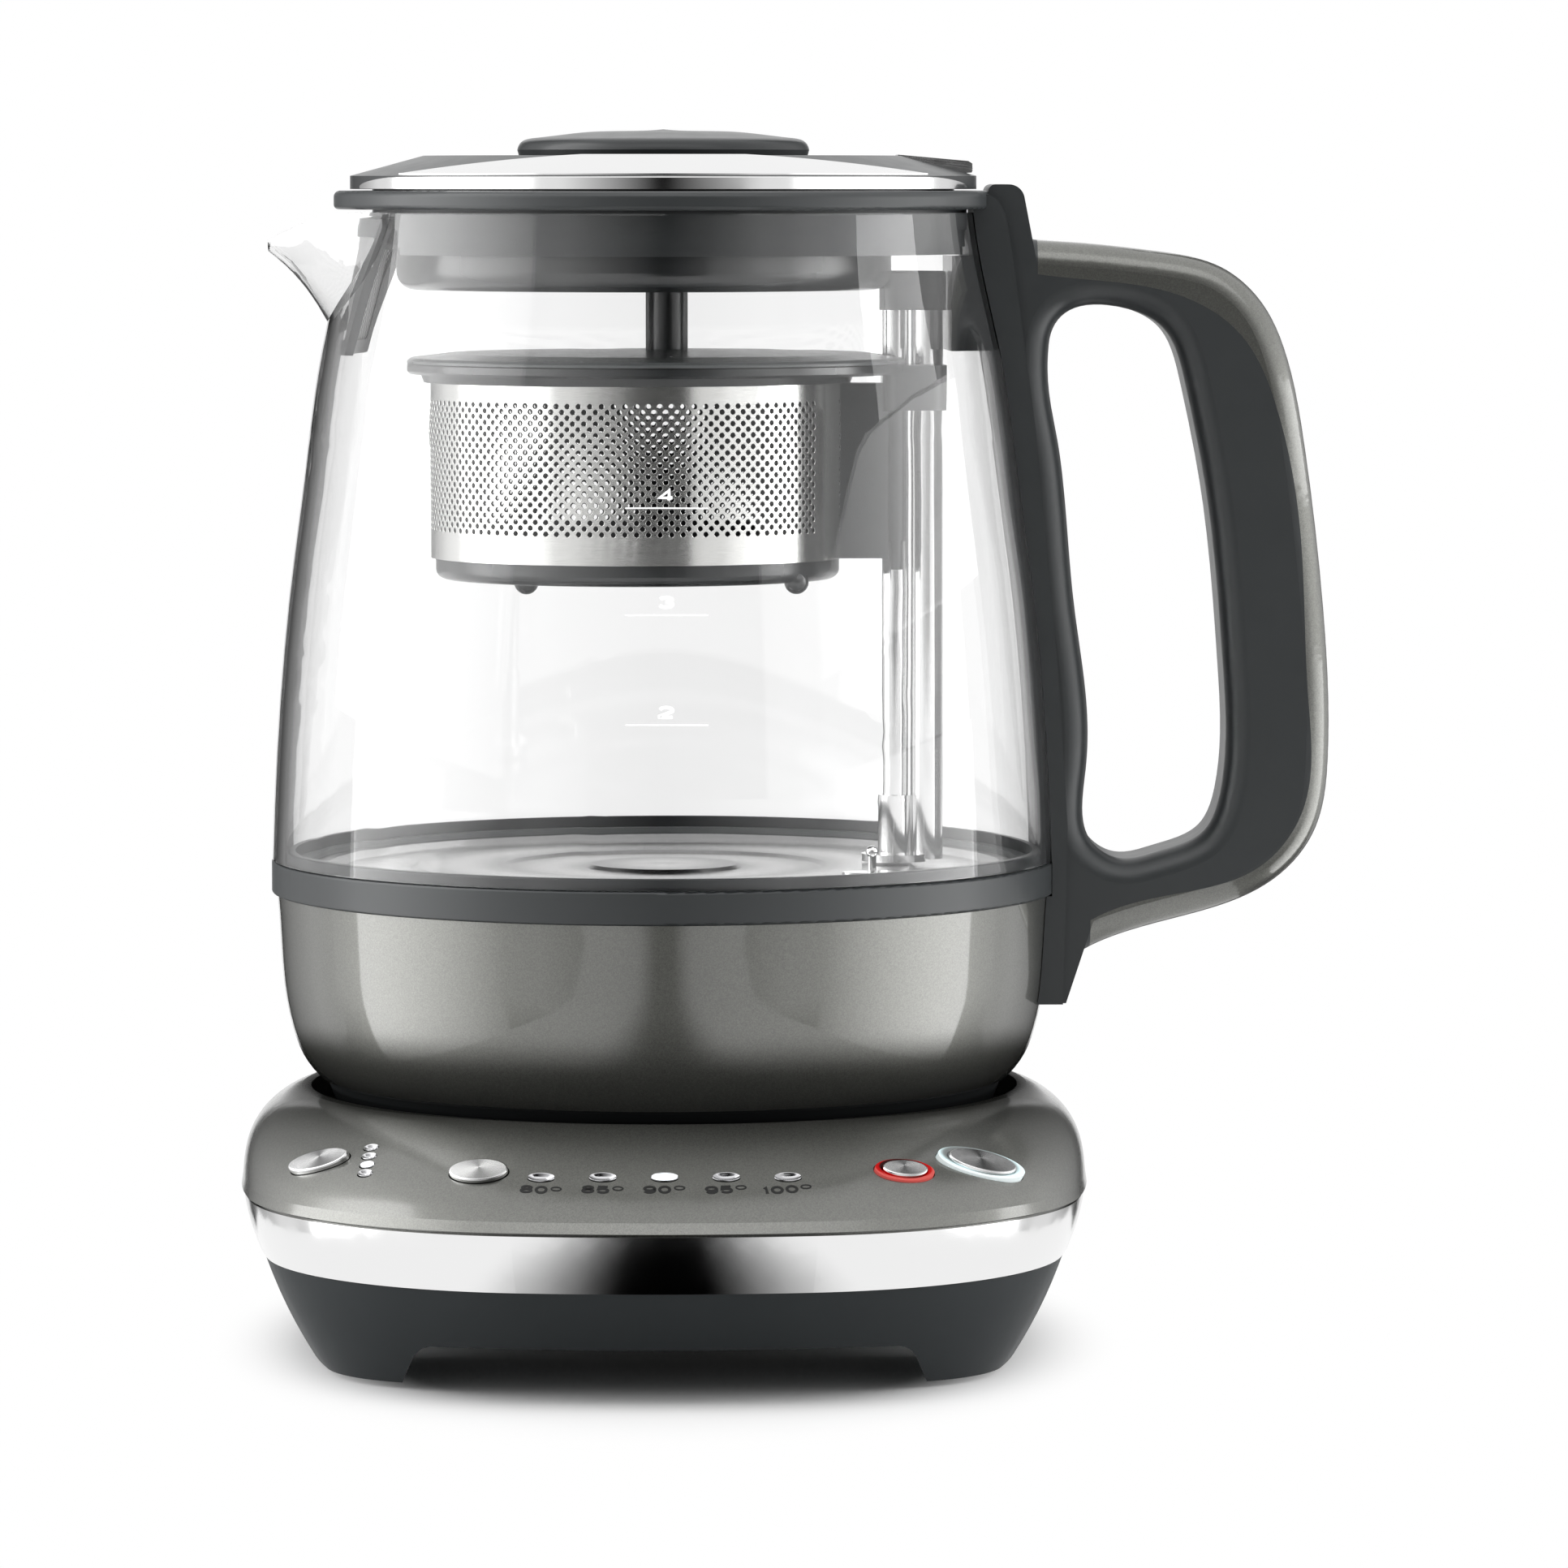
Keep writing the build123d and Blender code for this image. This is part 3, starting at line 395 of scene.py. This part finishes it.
def lit_ring(name, middle, along, across, half_sizes, colours):
    """A lit ring round a button, with its colours from where it dips to the cap out to its edge."""
    shader = Shader(name, colours[1], 0.3, Specular_IOR_Level=0.12)
    arm = shader.vector("SUBTRACT", shader.place, middle)
    squares = []
    for direction, size in zip((along, across), half_sizes):
        reach = shader.vector("DOT_PRODUCT", arm, direction)
        share = shader.math("DIVIDE", reach, size * MM)
        squares.append(shader.math("MULTIPLY", share, share))
    colour = shader.node("ShaderNodeValToRGB")
    shader.put(shader.math("SQRT", shader.math("ADD", *squares)), colour.inputs[0])
    stops = colour.color_ramp.elements
    for place, tone in zip(RING_STOPS, colours):
        stops.new(place).color = (*tone, 1)
    stops.remove(stops[0])
    stops.remove(stops[-1])
    shader.put(colour.outputs["Color"], shader.inputs["Base Color"])
    shader.glow(colour.outputs["Color"], *RING_GLOW)
    return shader.material


# Buttons: the cap's place on the deck and its turn, and the half sizes and colours of its light.
BUTTONS = {
    "strength": ((-63.6, -56.3, -22), None),
    "temperature": ((-33.8, -74.7, -9.5), None),
    "keep_warm": ((43.8, -71.4, 15), ((5.8, 3.1), RED)),
    "start": ((58.2, -61.6, 15), ((9.1, 4.0), WHITE)),
}
CAP_STEEL = (0.8, 0.8, 0.8)
PAINTED_FAN_TURN = math.radians(25)

for name, (place, light) in BUTTONS.items():
    middle, along, across, out = oval_place(skin_of(name + "_button"), *place)
    # The caps' spun steel carries a painted highlight: a fan of light along this direction.
    painted_fan = along * math.cos(PAINTED_FAN_TURN) + across * math.sin(PAINTED_FAN_TURN)
    cap = spun_metal(name + "_spun", CAP_STEEL, 0.2, middle, out, painted_fan=painted_fan)
    finish_node(name + "_button", cap)
    if light:
        finish_node(name + "_halo", lit_ring(name + "_light", middle, along, across, *light))


# ---------------------------------------------------------------- pieces
class Sheet:
    """Points and faces of one piece, where faces that meet share their points."""

    def __init__(self):
        self.points = []
        self.faces = []
        self.inner = []
        self.numbers = {}

    def number(self, place):
        key = tuple(round(value, 6) for value in place)
        if key not in self.numbers:
            self.numbers[key] = len(self.points)
            self.points.append(place)
        return self.numbers[key]

    def face(self, *places, inner=False):
        self.faces.append([self.number(place) for place in places])
        self.inner.append(inner)

    def piece(self, name, material, body, slot, inner_material=None):
        mesh = bpy.data.meshes.new(name)
        mesh.from_pydata(self.points, [], self.faces)
        mesh.materials.append(material)
        if inner_material:
            mesh.materials.append(inner_material)
            inner = [int(inner) for inner in self.inner]
            mesh.polygons.foreach_set("material_index", inner)
        mesh.shade_smooth()
        mesh.set_sharp_from_angle(angle=CREASE)
        made = bpy.data.objects.new(name, mesh)
        bpy.context.scene.collection.objects.link(made)
        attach(made, body)
        return made


def ring_angles(sides):
    """Angles of the corners of a regular ring, in radians."""
    return [2 * math.pi * side / sides for side in range(sides)]


# Punched steel cup of the strainer: the holes stand in rows, each shifted by half a pitch.
STRAINER_X = -5.0
STRAINER_RADIUS = 39.4
STRAINER_WALL = 0.5
STRAINER_LOW = 149.6
STRAINER_HIGH = 182.8
HOLE_RADIUS = 0.52
HOLE_LIP = 0.05
HOLE_SIDES = 8
HALF_PITCHES = 228
ROWS = 23
FIRST_ROW = 155.4
ROW_PITCH = 1.08
PLAIN_STRIP = (57, 75)      # degrees to the right of the front, over the lapped weld
HALF_PITCHES_PER_MM = HALF_PITCHES / (2 * math.pi * STRAINER_RADIUS)

# Corners of the patch of metal round a hole, in half pitches and half rows from its middle.
PATCH = ((1, 0), (1, 1), (0, 1), (-1, 1), (-1, 0), (-1, -1), (0, -1), (1, -1))


def on_strainer(column, height, depth):
    turn = 2 * math.pi * (column % HALF_PITCHES) / HALF_PITCHES
    radius = STRAINER_RADIUS - depth
    return at(STRAINER_X + radius * math.sin(turn), -radius * math.cos(turn), height)


def hole_ring(column, height, radius, depth):
    wide = radius * HALF_PITCHES_PER_MM
    return [on_strainer(column + wide * math.cos(turn), height + radius * math.sin(turn), depth)
            for turn in ring_angles(HOLE_SIDES)]


def strainer_cell(sheet, column, height, punched):
    """One hole with the metal round it, on both skins, or the same patch left plain."""
    outside, inside = (
        [on_strainer(column + i, height + j * ROW_PITCH / 2, depth) for i, j in PATCH]
        for depth in (0.0, STRAINER_WALL))
    if not punched:
        sheet.face(*outside)
        sheet.face(*reversed(inside), inner=True)
        return
    rings = [
        outside,
        hole_ring(column, height, HOLE_RADIUS + HOLE_LIP, 0.0),
        hole_ring(column, height, HOLE_RADIUS, HOLE_LIP * 0.7),
        hole_ring(column, height, HOLE_RADIUS, STRAINER_WALL),
        inside,
    ]
    for depth, (near, far) in enumerate(zip(rings, rings[1:])):
        for side in range(HOLE_SIDES):
            after = (side + 1) % HOLE_SIDES
            sheet.face(near[side], near[after], far[after], far[side], inner=depth > 1)


def wall_strip(sheet, first, second, low, high, depth):
    """The wall between two columns and two heights, at a depth from the outside."""
    sheet.face(on_strainer(first, low, depth), on_strainer(second, low, depth),
               on_strainer(second, high, depth), on_strainer(first, high, depth),
               inner=depth > 0)


def punched_strainer():
    sheet = Sheet()
    for row in range(ROWS):
        for column in range(row % 2, HALF_PITCHES, 2):
            degrees = 360 * column / HALF_PITCHES
            punched = not PLAIN_STRIP[0] < degrees < PLAIN_STRIP[1]
            strainer_cell(sheet, column, FIRST_ROW + row * ROW_PITCH, punched)
    punched_low = FIRST_ROW - ROW_PITCH / 2
    punched_high = punched_low + ROWS * ROW_PITCH
    floor = STRAINER_LOW + STRAINER_WALL
    plain_bands = ((STRAINER_LOW, floor, punched_low),
                   (punched_high, punched_high, STRAINER_HIGH))
    for column in range(HALF_PITCHES):
        after = column + 1
        for low, inner_low, high in plain_bands:
            wall_strip(sheet, column, after, low, high, 0)
            wall_strip(sheet, after, column, inner_low, high, STRAINER_WALL)
        rim = [on_strainer(place, STRAINER_HIGH, depth) for place, depth in (
            (column, 0), (after, 0), (after, STRAINER_WALL), (column, STRAINER_WALL))]
        sheet.face(*rim)
    columns = range(HALF_PITCHES)
    sheet.face(*(on_strainer(HALF_PITCHES - column, STRAINER_LOW, 0) for column in columns))
    sheet.face(*(on_strainer(column, floor, STRAINER_WALL) for column in columns), inner=True)
    # The inner faces take the painted shade of the cup's inside.
    cup = sheet.piece("punched_strainer", strainer_steel, "brew_unit", "mesh_steel",
                      strainer_inside_shade)
    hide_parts("strainer")


# ---------------------------------------------------------------- figures and lines
CLOSED = "closed"           # last item of a stroke that runs back to its start


def bow(middle, size, start, end, steps=10):
    """Points along part of an oval, between two angles in degrees."""
    turns = [math.radians(start + (end - start) * step / steps) for step in range(steps + 1)]
    return [(middle[0] + size[0] * math.cos(turn), middle[1] + size[1] * math.sin(turn))
            for turn in turns]


def oval(middle, size, steps=18):
    return bow(middle, size, 0, 360 * (steps - 1) / steps, steps - 1) + [CLOSED]


# Strokes of each figure in a square of side 1, and its width against a full figure's.
FIGURES = {
    "0": (1.0, [oval((0.5, 0.5), (0.5, 0.5))]),
    "1": (0.45, [[(0.0, 0.8), (0.7, 1.0), (0.7, 0.0)]]),
    "2": (1.0, [bow((0.5, 0.71), (0.5, 0.29), 165, -35) + [(0.0, 0.1), (0.0, 0.0), (1.0, 0.0)]]),
    "3": (1.0, [bow((0.5, 0.76), (0.47, 0.24), 165, -80),
                bow((0.5, 0.26), (0.5, 0.26), 95, -165)]),
    "4": (1.0, [[(0.74, 0.0), (0.74, 1.0), (0.0, 0.26), (1.0, 0.26)]]),
    "5": (1.0, [[(0.95, 1.0), (0.12, 1.0), (0.05, 0.56)]
                + bow((0.5, 0.33), (0.5, 0.33), 120, -160)]),
    "8": (1.0, [oval((0.5, 0.26), (0.5, 0.26)), oval((0.5, 0.77), (0.44, 0.23))]),
    "9": (1.0, [oval((0.5, 0.68), (0.5, 0.32)),
                [(1.0, 0.68)] + bow((0.5, 0.36), (0.5, 0.36), 0, -160)]),
}


class Print:
    """Ink on the outside of a CAD node: flat strokes that follow its surface."""

    INK = 0.05              # how far the ink stands out, and how far it reaches in
    REACH = 4               # how far out each point starts on its way to the surface
    SHARPEST_MITRE = 0.6    # cosine at which a corner stops growing outwards
    DEGREE_RING = 0.42      # half width of the degree ring against a figure's height
    DEGREE_SIDES = 12

    def __init__(self, node):
        self.skin = skin_of(node)
        self.sheet = Sheet()

    def aim(self, middle, towards, turn=0.0):
        """Print round the place that a ray meets, with the top of the print up its surface."""
        self.middle, normal = self.skin.ray_cast(middle, towards)[:2]
        if normal.dot(towards) > 0:
            normal.negate()
        self.out = normal
        up = UP - normal * normal.z
        self.up = Matrix.Rotation(math.radians(turn), 3, normal) @ up.normalized()
        self.right = self.up.cross(normal)

    def spot(self, place, lift):
        across, high = place
        start = self.middle + (self.right * across + self.up * high + self.out * self.REACH) * MM
        hit = self.skin.ray_cast(start, -self.out)[0]
        return hit + self.out * lift * MM

    def stroke(self, points, weight):
        """A stroke along points in millimetres, made a ring where they end in CLOSED."""
        closed = points[-1] == CLOSED
        line = [Vector(point) for point in (points[:-1] if closed else points)]
        count = len(line)
        sections = []
        for index, here in enumerate(line):
            before = line[index - 1] if closed or index else None
            after = line[(index + 1) % count] if closed or index + 1 < count else None
            runs = [(far - near).normalized() for near, far in ((before, here), (here, after))
                    if near is not None and far is not None]
            along = sum(runs, Vector((0, 0))).normalized()
            reach = weight / 2 / max(along.dot(runs[0]), self.SHARPEST_MITRE)
            across = Vector((-along.y, along.x)) * reach
            left, right = here + across, here - across
            sections.append([self.spot(left, self.INK), self.spot(right, self.INK),
                             self.spot(right, -self.INK), self.spot(left, -self.INK)])
        for index in range(count if closed else count - 1):
            near, far = sections[index], sections[(index + 1) % count]
            for edge in range(4):
                self.sheet.face(near[edge], near[edge - 1], far[edge - 1], far[edge])
        if not closed:
            self.sheet.face(*sections[0])
            self.sheet.face(*reversed(sections[-1]))

    def figures(self, text, size, weight, gap, degree=False):
        """Figures of one size (width, height) in a row about the place aimed at."""
        widths = [FIGURES[figure][0] * size[0] for figure in text]
        ring = self.DEGREE_RING * size[1]
        total = sum(widths) + gap * (len(text) - 1) + (gap + 2.6 * ring if degree else 0)
        left = -total / 2
        for figure, width in zip(text, widths):
            for stroke in FIGURES[figure][1]:
                self.stroke([point if point == CLOSED else
                             (left + weight / 2 + point[0] * (width - weight),
                              weight / 2 + point[1] * (size[1] - weight) - size[1] / 2)
                             for point in stroke], weight)
            left += width + gap
        if degree:
            middle = (left + 1.3 * ring, size[1] / 2 - 0.7 * ring)
            self.stroke(oval(middle, (ring, 0.55 * ring), self.DEGREE_SIDES), weight * 0.55)


# Level lines on the front of the glass, by the figure printed over each.
BEFORE_THE_JUG = -120
LEVELS = {"4": 161.7, "3": 142.4, "2": 122.5}
LEVEL_LINE = (-7.0, 8.1)
LEVEL_LINE_STEPS = 14
LEVEL_LINE_WEIGHT = 0.26
LEVEL_FIGURE = (3.0, 2.4)
LEVEL_FIGURE_WEIGHT = 0.62
LEVEL_FIGURE_X = 0.4
FIGURE_OVER_LINE = 2.3


def level_marks():
    print_on = Print("glass_jug")
    start, end = LEVEL_LINE
    steps = range(LEVEL_LINE_STEPS + 1)
    line = [(start + (end - start) * step / LEVEL_LINE_STEPS, 0) for step in steps]
    for figure, height in LEVELS.items():
        print_on.aim(at(0, BEFORE_THE_JUG, height), BACKWARDS)
        print_on.stroke(line, LEVEL_LINE_WEIGHT)
        print_on.aim(at(LEVEL_FIGURE_X, BEFORE_THE_JUG, height + FIGURE_OVER_LINE), BACKWARDS)
        print_on.figures(figure, LEVEL_FIGURE, LEVEL_FIGURE_WEIGHT, 0)
    print_on.sheet.piece("level_marks", glowing_white_ink, "jug", "white_lens")


# Temperatures under the lamps, which stand in an arc in front of the seat.
TEMPERATURES = ("80", "85", "90", "95", "100")
SCALE_PITCH = 11.2
SCALE_FRONT = -82.1
SCALE_BEND = 0.35
SCALE_TURN = 1.9
TEMPERATURE_FIGURE = (2.4, 2.15)
TEMPERATURE_WEIGHT = 0.56
TEMPERATURE_GAP = 0.32
OVER_THE_SCALE = 60


def temperature_scale():
    print_on = Print("deck_panel")
    for index, text in enumerate(TEMPERATURES):
        row = index - len(TEMPERATURES) // 2
        place = at(SCALE_PITCH * row, SCALE_FRONT + SCALE_BEND * row ** 2, OVER_THE_SCALE)
        print_on.aim(place, DOWN, SCALE_TURN * row)
        print_on.figures(text, TEMPERATURE_FIGURE, TEMPERATURE_WEIGHT, TEMPERATURE_GAP,
                         degree=True)
    print_on.sheet.piece("temperature_scale", black_ink, "base", "dark_plastic")


# ---------------------------------------------------------------- lamps
# A dish let into each lamp, from its foot in to the dish's middle: the share of the lamp's half
# sizes, millimetres more, and the height over the deck.
LAMP_PROFILE = (
    (1, 0, -5.0), (1, 0, 0.05), (1, -0.08, 0.18), (1, -0.2, 0.12),
    (0.75, -0.12, -0.2), (0.42, 0, -0.45),
)
LAMP_MIDDLE = -0.55
LAMP_SIDES = 28
FIRST_DISH_RING = 3

# Half sizes, how far the CAD's lamps stand out, then each lamp's x, y, turn and whether it is lit.
LAMPS = {
    "strength_lamps": ((1.65, 0.95), 0.35, [
        (-54.0 - 0.3 * row, -59.6 - 2.5 * row + 0.085 * row ** 2, -27, row == 2)
        for row in range(4)]),
    "temperature_lamps": ((2.55, 1.2), 0.4, [
        (11.22 * row, -79.55 + 0.365 * row ** 2, 3.8 * row, row == 0)
        for row in range(-2, 3)]),
}


def lamp_dishes(node):
    (long, short), proud, lamps = LAMPS[node]
    skin = skin_of(node)
    sheet = Sheet()
    for x, y, turn, lit in lamps:
        top, along, across, out = oval_place(skin, x, y, turn)
        deck = top - out * proud * MM
        rings = [[deck + (along * (long * share + more) * math.cos(angle)
                          + across * (short * share + more) * math.sin(angle)
                          + out * height) * MM
                  for angle in ring_angles(LAMP_SIDES)] for share, more, height in LAMP_PROFILE]
        rings.append([deck + out * LAMP_MIDDLE * MM])
        sheet.face(*reversed(rings[0]))
        for depth, (near, far) in enumerate(zip(rings, rings[1:])):
            glows = lit and depth >= FIRST_DISH_RING
            for side in range(LAMP_SIDES):
                after = (side + 1) % LAMP_SIDES
                inwards = (far[after], far[side]) if len(far) > 1 else far
                sheet.face(near[side], near[after], *inwards, inner=glows)
    name = node.replace("lamps", "lamp_dishes")
    dishes = sheet.piece(name, lamp_dish, "base", "lamp_lens", lit_lamp)
    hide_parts(node)


punched_strainer()
level_marks()
temperature_scale()
for node in LAMPS:
    lamp_dishes(node)

# ---------------------------------------------------------------- camera
CAMERA_PLACE = at(0, -1500, 222)
AIM = at(22.9, 0, 106.1)
FOCAL_LENGTH = 180.9
SENSOR = 36.0

camera_data = bpy.data.cameras.new("camera")
camera_data.lens = FOCAL_LENGTH
camera_data.sensor_width = SENSOR
camera_data.clip_start = 0.05
camera_data.clip_end = 50
camera = bpy.data.objects.new("camera", camera_data)
camera.location = CAMERA_PLACE
camera.rotation_euler = (AIM - CAMERA_PLACE).to_track_quat("-Z", "Y").to_euler()
bpy.context.scene.collection.objects.link(camera)
bpy.context.scene.camera = camera

# ---------------------------------------------------------------- studio
DIFFUSE_SKY = 0.42              # what the world gives the matt surfaces, where the background is 1
DARK_BELOW = (-0.12, -0.5)      # where the world turns dark in the reflections, by direction
DARKNESS_BELOW = 0.92
PAPER = (0.88, 0.88, 0.88, 1)
SHADOW_STRETCH = Vector((1.6, 1.0, 1.0))
SHADOW_FADE = (0.09, 0.14)
UPPER_WHITE = 1.7

# Turns of the planes.
FLAT = (0, 0, 0)
UPRIGHT = (math.pi / 2, 0, 0)
FACING_SIDEWAYS = (math.pi / 2, 0, math.pi / 2)


class StageTree(Tree):
    """A tree that starts empty, for the world and for what stands round the machine."""

    def __init__(self, owner):
        super().__init__(owner)
        self.nodes.clear()

    def ray(self, kind):
        return self.node("ShaderNodeLightPath").outputs[f"Is {kind} Ray"]

    def shows_background(self):
        """1 for rays that should see the plain white background."""
        total = self.ray("Camera")
        for kind in ("Glossy", "Transmission"):
            total = self.math("MAXIMUM", total, self.ray(kind))
        return total

    def position(self):
        return self.node("ShaderNodeNewGeometry").outputs["Position"]

    def from_axis(self, axis):
        """Metres from the jug's axis along X, Y or Z, without a sign for X."""
        place = self.part(self.position(), axis)
        offset = self.math("SUBTRACT", place, getattr(AXIS, axis.lower()))
        return self.math("ABSOLUTE", offset) if axis == "X" else offset

    def emission(self, strength):
        made = self.node("ShaderNodeEmission")
        self.put(strength, made.inputs["Strength"])
        return made.outputs[0]

    def mix(self, share, first, second):
        made = self.node("ShaderNodeMixShader")
        self.fill(made, (share, first, second))
        return made.outputs[0]

    def finish(self, surface, kind="Material"):
        out = self.node(f"ShaderNodeOutput{kind}")
        self.put(surface, out.inputs["Surface"])


def light_world():
    """White all round, but dark under the machine for the glossy surfaces that face down."""
    world = bpy.data.worlds.new("studio")
    tree = StageTree(world)
    height = tree.part(tree.node("ShaderNodeTexCoord").outputs["Generated"], "Z")
    under = tree.spread(height, 0.0, DARKNESS_BELOW, *DARK_BELOW, "SMOOTHSTEP")
    dimmed = tree.spread(tree.math("MULTIPLY", under, tree.ray("Glossy")), 1.0, 0.0)
    white = tree.spread(tree.shows_background(), DIFFUSE_SKY, 1.0)
    background = tree.node("ShaderNodeBackground")
    tree.fill(background, ((1, 1, 1, 1), tree.math("MULTIPLY", white, dimmed)))
    tree.finish(background.outputs[0], "World")
    bpy.context.scene.world = world


def stage_plane(name, size, place, turn, material):
    bpy.ops.mesh.primitive_plane_add(size=1, location=place, rotation=turn)
    plane = bpy.context.object
    plane.name = name
    plane.scale = (*size, 1)
    plane.data.materials.append(material)
    return plane


def floor_material():
    """White paper that keeps the machine's shadow and turns into the background away from it."""
    material = bpy.data.materials.new("floor")
    tree = StageTree(material)
    paper = tree.node("ShaderNodeBsdfDiffuse")
    tree.put(PAPER, paper.inputs["Color"])
    stretched = tree.vector("MULTIPLY", tree.position(), SHADOW_STRETCH)
    reach = tree.vector("DISTANCE", stretched, AXIS * SHADOW_STRETCH)
    away = tree.spread(reach, 0.0, 1.0, *SHADOW_FADE, "SMOOTHSTEP")
    share = tree.math("MULTIPLY", away, tree.shows_background())
    tree.finish(tree.mix(share, paper.outputs[0], tree.emission(1.0)))
    return material


def card_material(name, axis, span, light, whitening=None, steps="LINEAR"):
    """Light that changes over a span along an axis, and turns white over a span of heights."""
    material = bpy.data.materials.new(name)
    tree = StageTree(material)
    level = tree.spread(tree.from_axis(axis), *light, *span, steps)
    if whitening:
        upper = tree.spread(tree.from_axis("Z"), 0.0, UPPER_WHITE, *whitening, "SMOOTHSTEP")
        level = tree.math("MAXIMUM", level, upper)
    tree.finish(tree.emission(level))
    return material


def reflected_card(name, size, place, turn, material):
    """A card that shows only in reflections and bent through the glass."""
    card = stage_plane(name, size, place, turn, material)
    card.visible_camera = False
    card.visible_diffuse = False
    card.visible_shadow = False


def softbox(name, size, place, radiance, aim):
    """A light for the matt surfaces; the cards stand for it in the glossy ones."""
    data = bpy.data.lights.new(name, "AREA")
    data.shape = "RECTANGLE"
    data.size, data.size_y = size
    data.energy = radiance * math.pi * size[0] * size[1]
    lamp = bpy.data.objects.new(name, data)
    lamp.location = place
    lamp.rotation_euler = (aim - place).to_track_quat("-Z", "Y").to_euler()
    lamp.visible_glossy = False
    bpy.context.scene.collection.objects.link(lamp)


# The dark disc in the gap under the jug: its height, and where it fades out for what looks at it
# from either side, and for what looks down on it.
CONTACT_HEIGHT = 49.0
CONTACT_SIZE = (0.23, 0.23)
CONTACT_FADE = (0.066, 0.08)
CONTACT_FADE_ABOVE = (0.078, 0.106)


def contact_card():
    """Keeps the light out of the gap under the jug, in reflections alone."""
    material = bpy.data.materials.new("contact_card")
    tree = StageTree(material)
    middle = at(0, 0, CONTACT_HEIGHT)
    reach = tree.vector("DISTANCE", tree.position(), middle)
    below = tree.node("ShaderNodeNewGeometry").outputs["Backfacing"]
    either = tree.spread(reach, 1.0, 0.0, *CONTACT_FADE, "SMOOTHSTEP")
    wider = tree.spread(reach, 1.0, 0.0, *CONTACT_FADE_ABOVE, "SMOOTHSTEP")
    above = tree.math("MULTIPLY", wider, tree.spread(below, 1.0, 0.0))
    clear = tree.node("ShaderNodeBsdfTransparent").outputs[0]
    dark = tree.emission(0.0)
    tree.finish(tree.mix(tree.math("MAXIMUM", either, above), clear, dark))
    reflected_card("contact_card", CONTACT_SIZE, middle, FLAT, material)


# On the stage, places are in millimetres about the jug's axis, and sizes and spans in metres.
FLOOR_SIZE = (30, 30)
MACHINE = at(0, 0, 110)         # what the lights aim at
SIDE_CARD_X = 500
SIDES = {"left": -1, "right": 1}
HIGH_CARD_EDGES = {"left": (130, 940), "right": (190, 260)}
SIDE_RADIANCE = 4.0
TOP_RADIANCE = 2.6


def front_cards():
    """The room before the machine, its floor, and a dark strip to the right of the middle."""
    room = card_material("front_card", "X", span=(0.06, 1.4), light=(0.0, 0.85),
                         whitening=(1.0, 1.7))
    reflected_card("front_card", (4.2, 4.4), at(0, -1900, 1600), UPRIGHT, room)
    paper = card_material("floor_card", "X", span=(0.0104, 0.055), light=(0.0, 1.0),
                          steps="SMOOTHSTEP")
    reflected_card("floor_card", (0.3, 0.9), at(0, -350, -0.5), FLAT, paper)
    strip = card_material("dark_strip", "X", span=(0, 1), light=(0.03, 0.03))
    reflected_card("dark_strip", (0.15, 0.1), at(78, -300, 165), UPRIGHT, strip)


def side_cards_and_lights():
    """Bright cards beside the machine, dark flags behind it, and the lights of both sides."""
    low_card = card_material("low_side", "Y", span=(-0.48, 0.065), light=(0.85, 3.4))
    high_card = card_material("high_side", "Y", span=(-0.48, -0.08), light=(1.4, 3.4))
    flag = card_material("flag", "X", span=(0.3, 1.2), light=(0.03, 0.8))
    for name, side in SIDES.items():
        reflected_card(name + "_low", (0.545, 0.53), at(side * SIDE_CARD_X, -207.5, -135),
                       FACING_SIDEWAYS, low_card)
        low, high = HIGH_CARD_EDGES[name]
        reflected_card(name + "_high", (0.65, (high - low) * MM),
                       at(side * SIDE_CARD_X, -155, (low + high) / 2), FACING_SIDEWAYS, high_card)
        reflected_card(name + "_flag", (1.63, 1.9), at(side * 1085, 900, 350), UPRIGHT, flag)
        softbox(name + "_box", (0.46, 0.9), at(side * 900, -20, 380), SIDE_RADIANCE, MACHINE)


def studio():
    light_world()
    floor = stage_plane("floor", FLOOR_SIZE, AXIS.copy(), FLAT, floor_material())
    floor.visible_glossy = False
    front_cards()
    side_cards_and_lights()
    softbox("top_box", (1.2, 1.2), at(0, 100, 1500), TOP_RADIANCE, MACHINE)
    contact_card()


studio()
bpy.context.scene.view_settings.view_transform = "Standard"
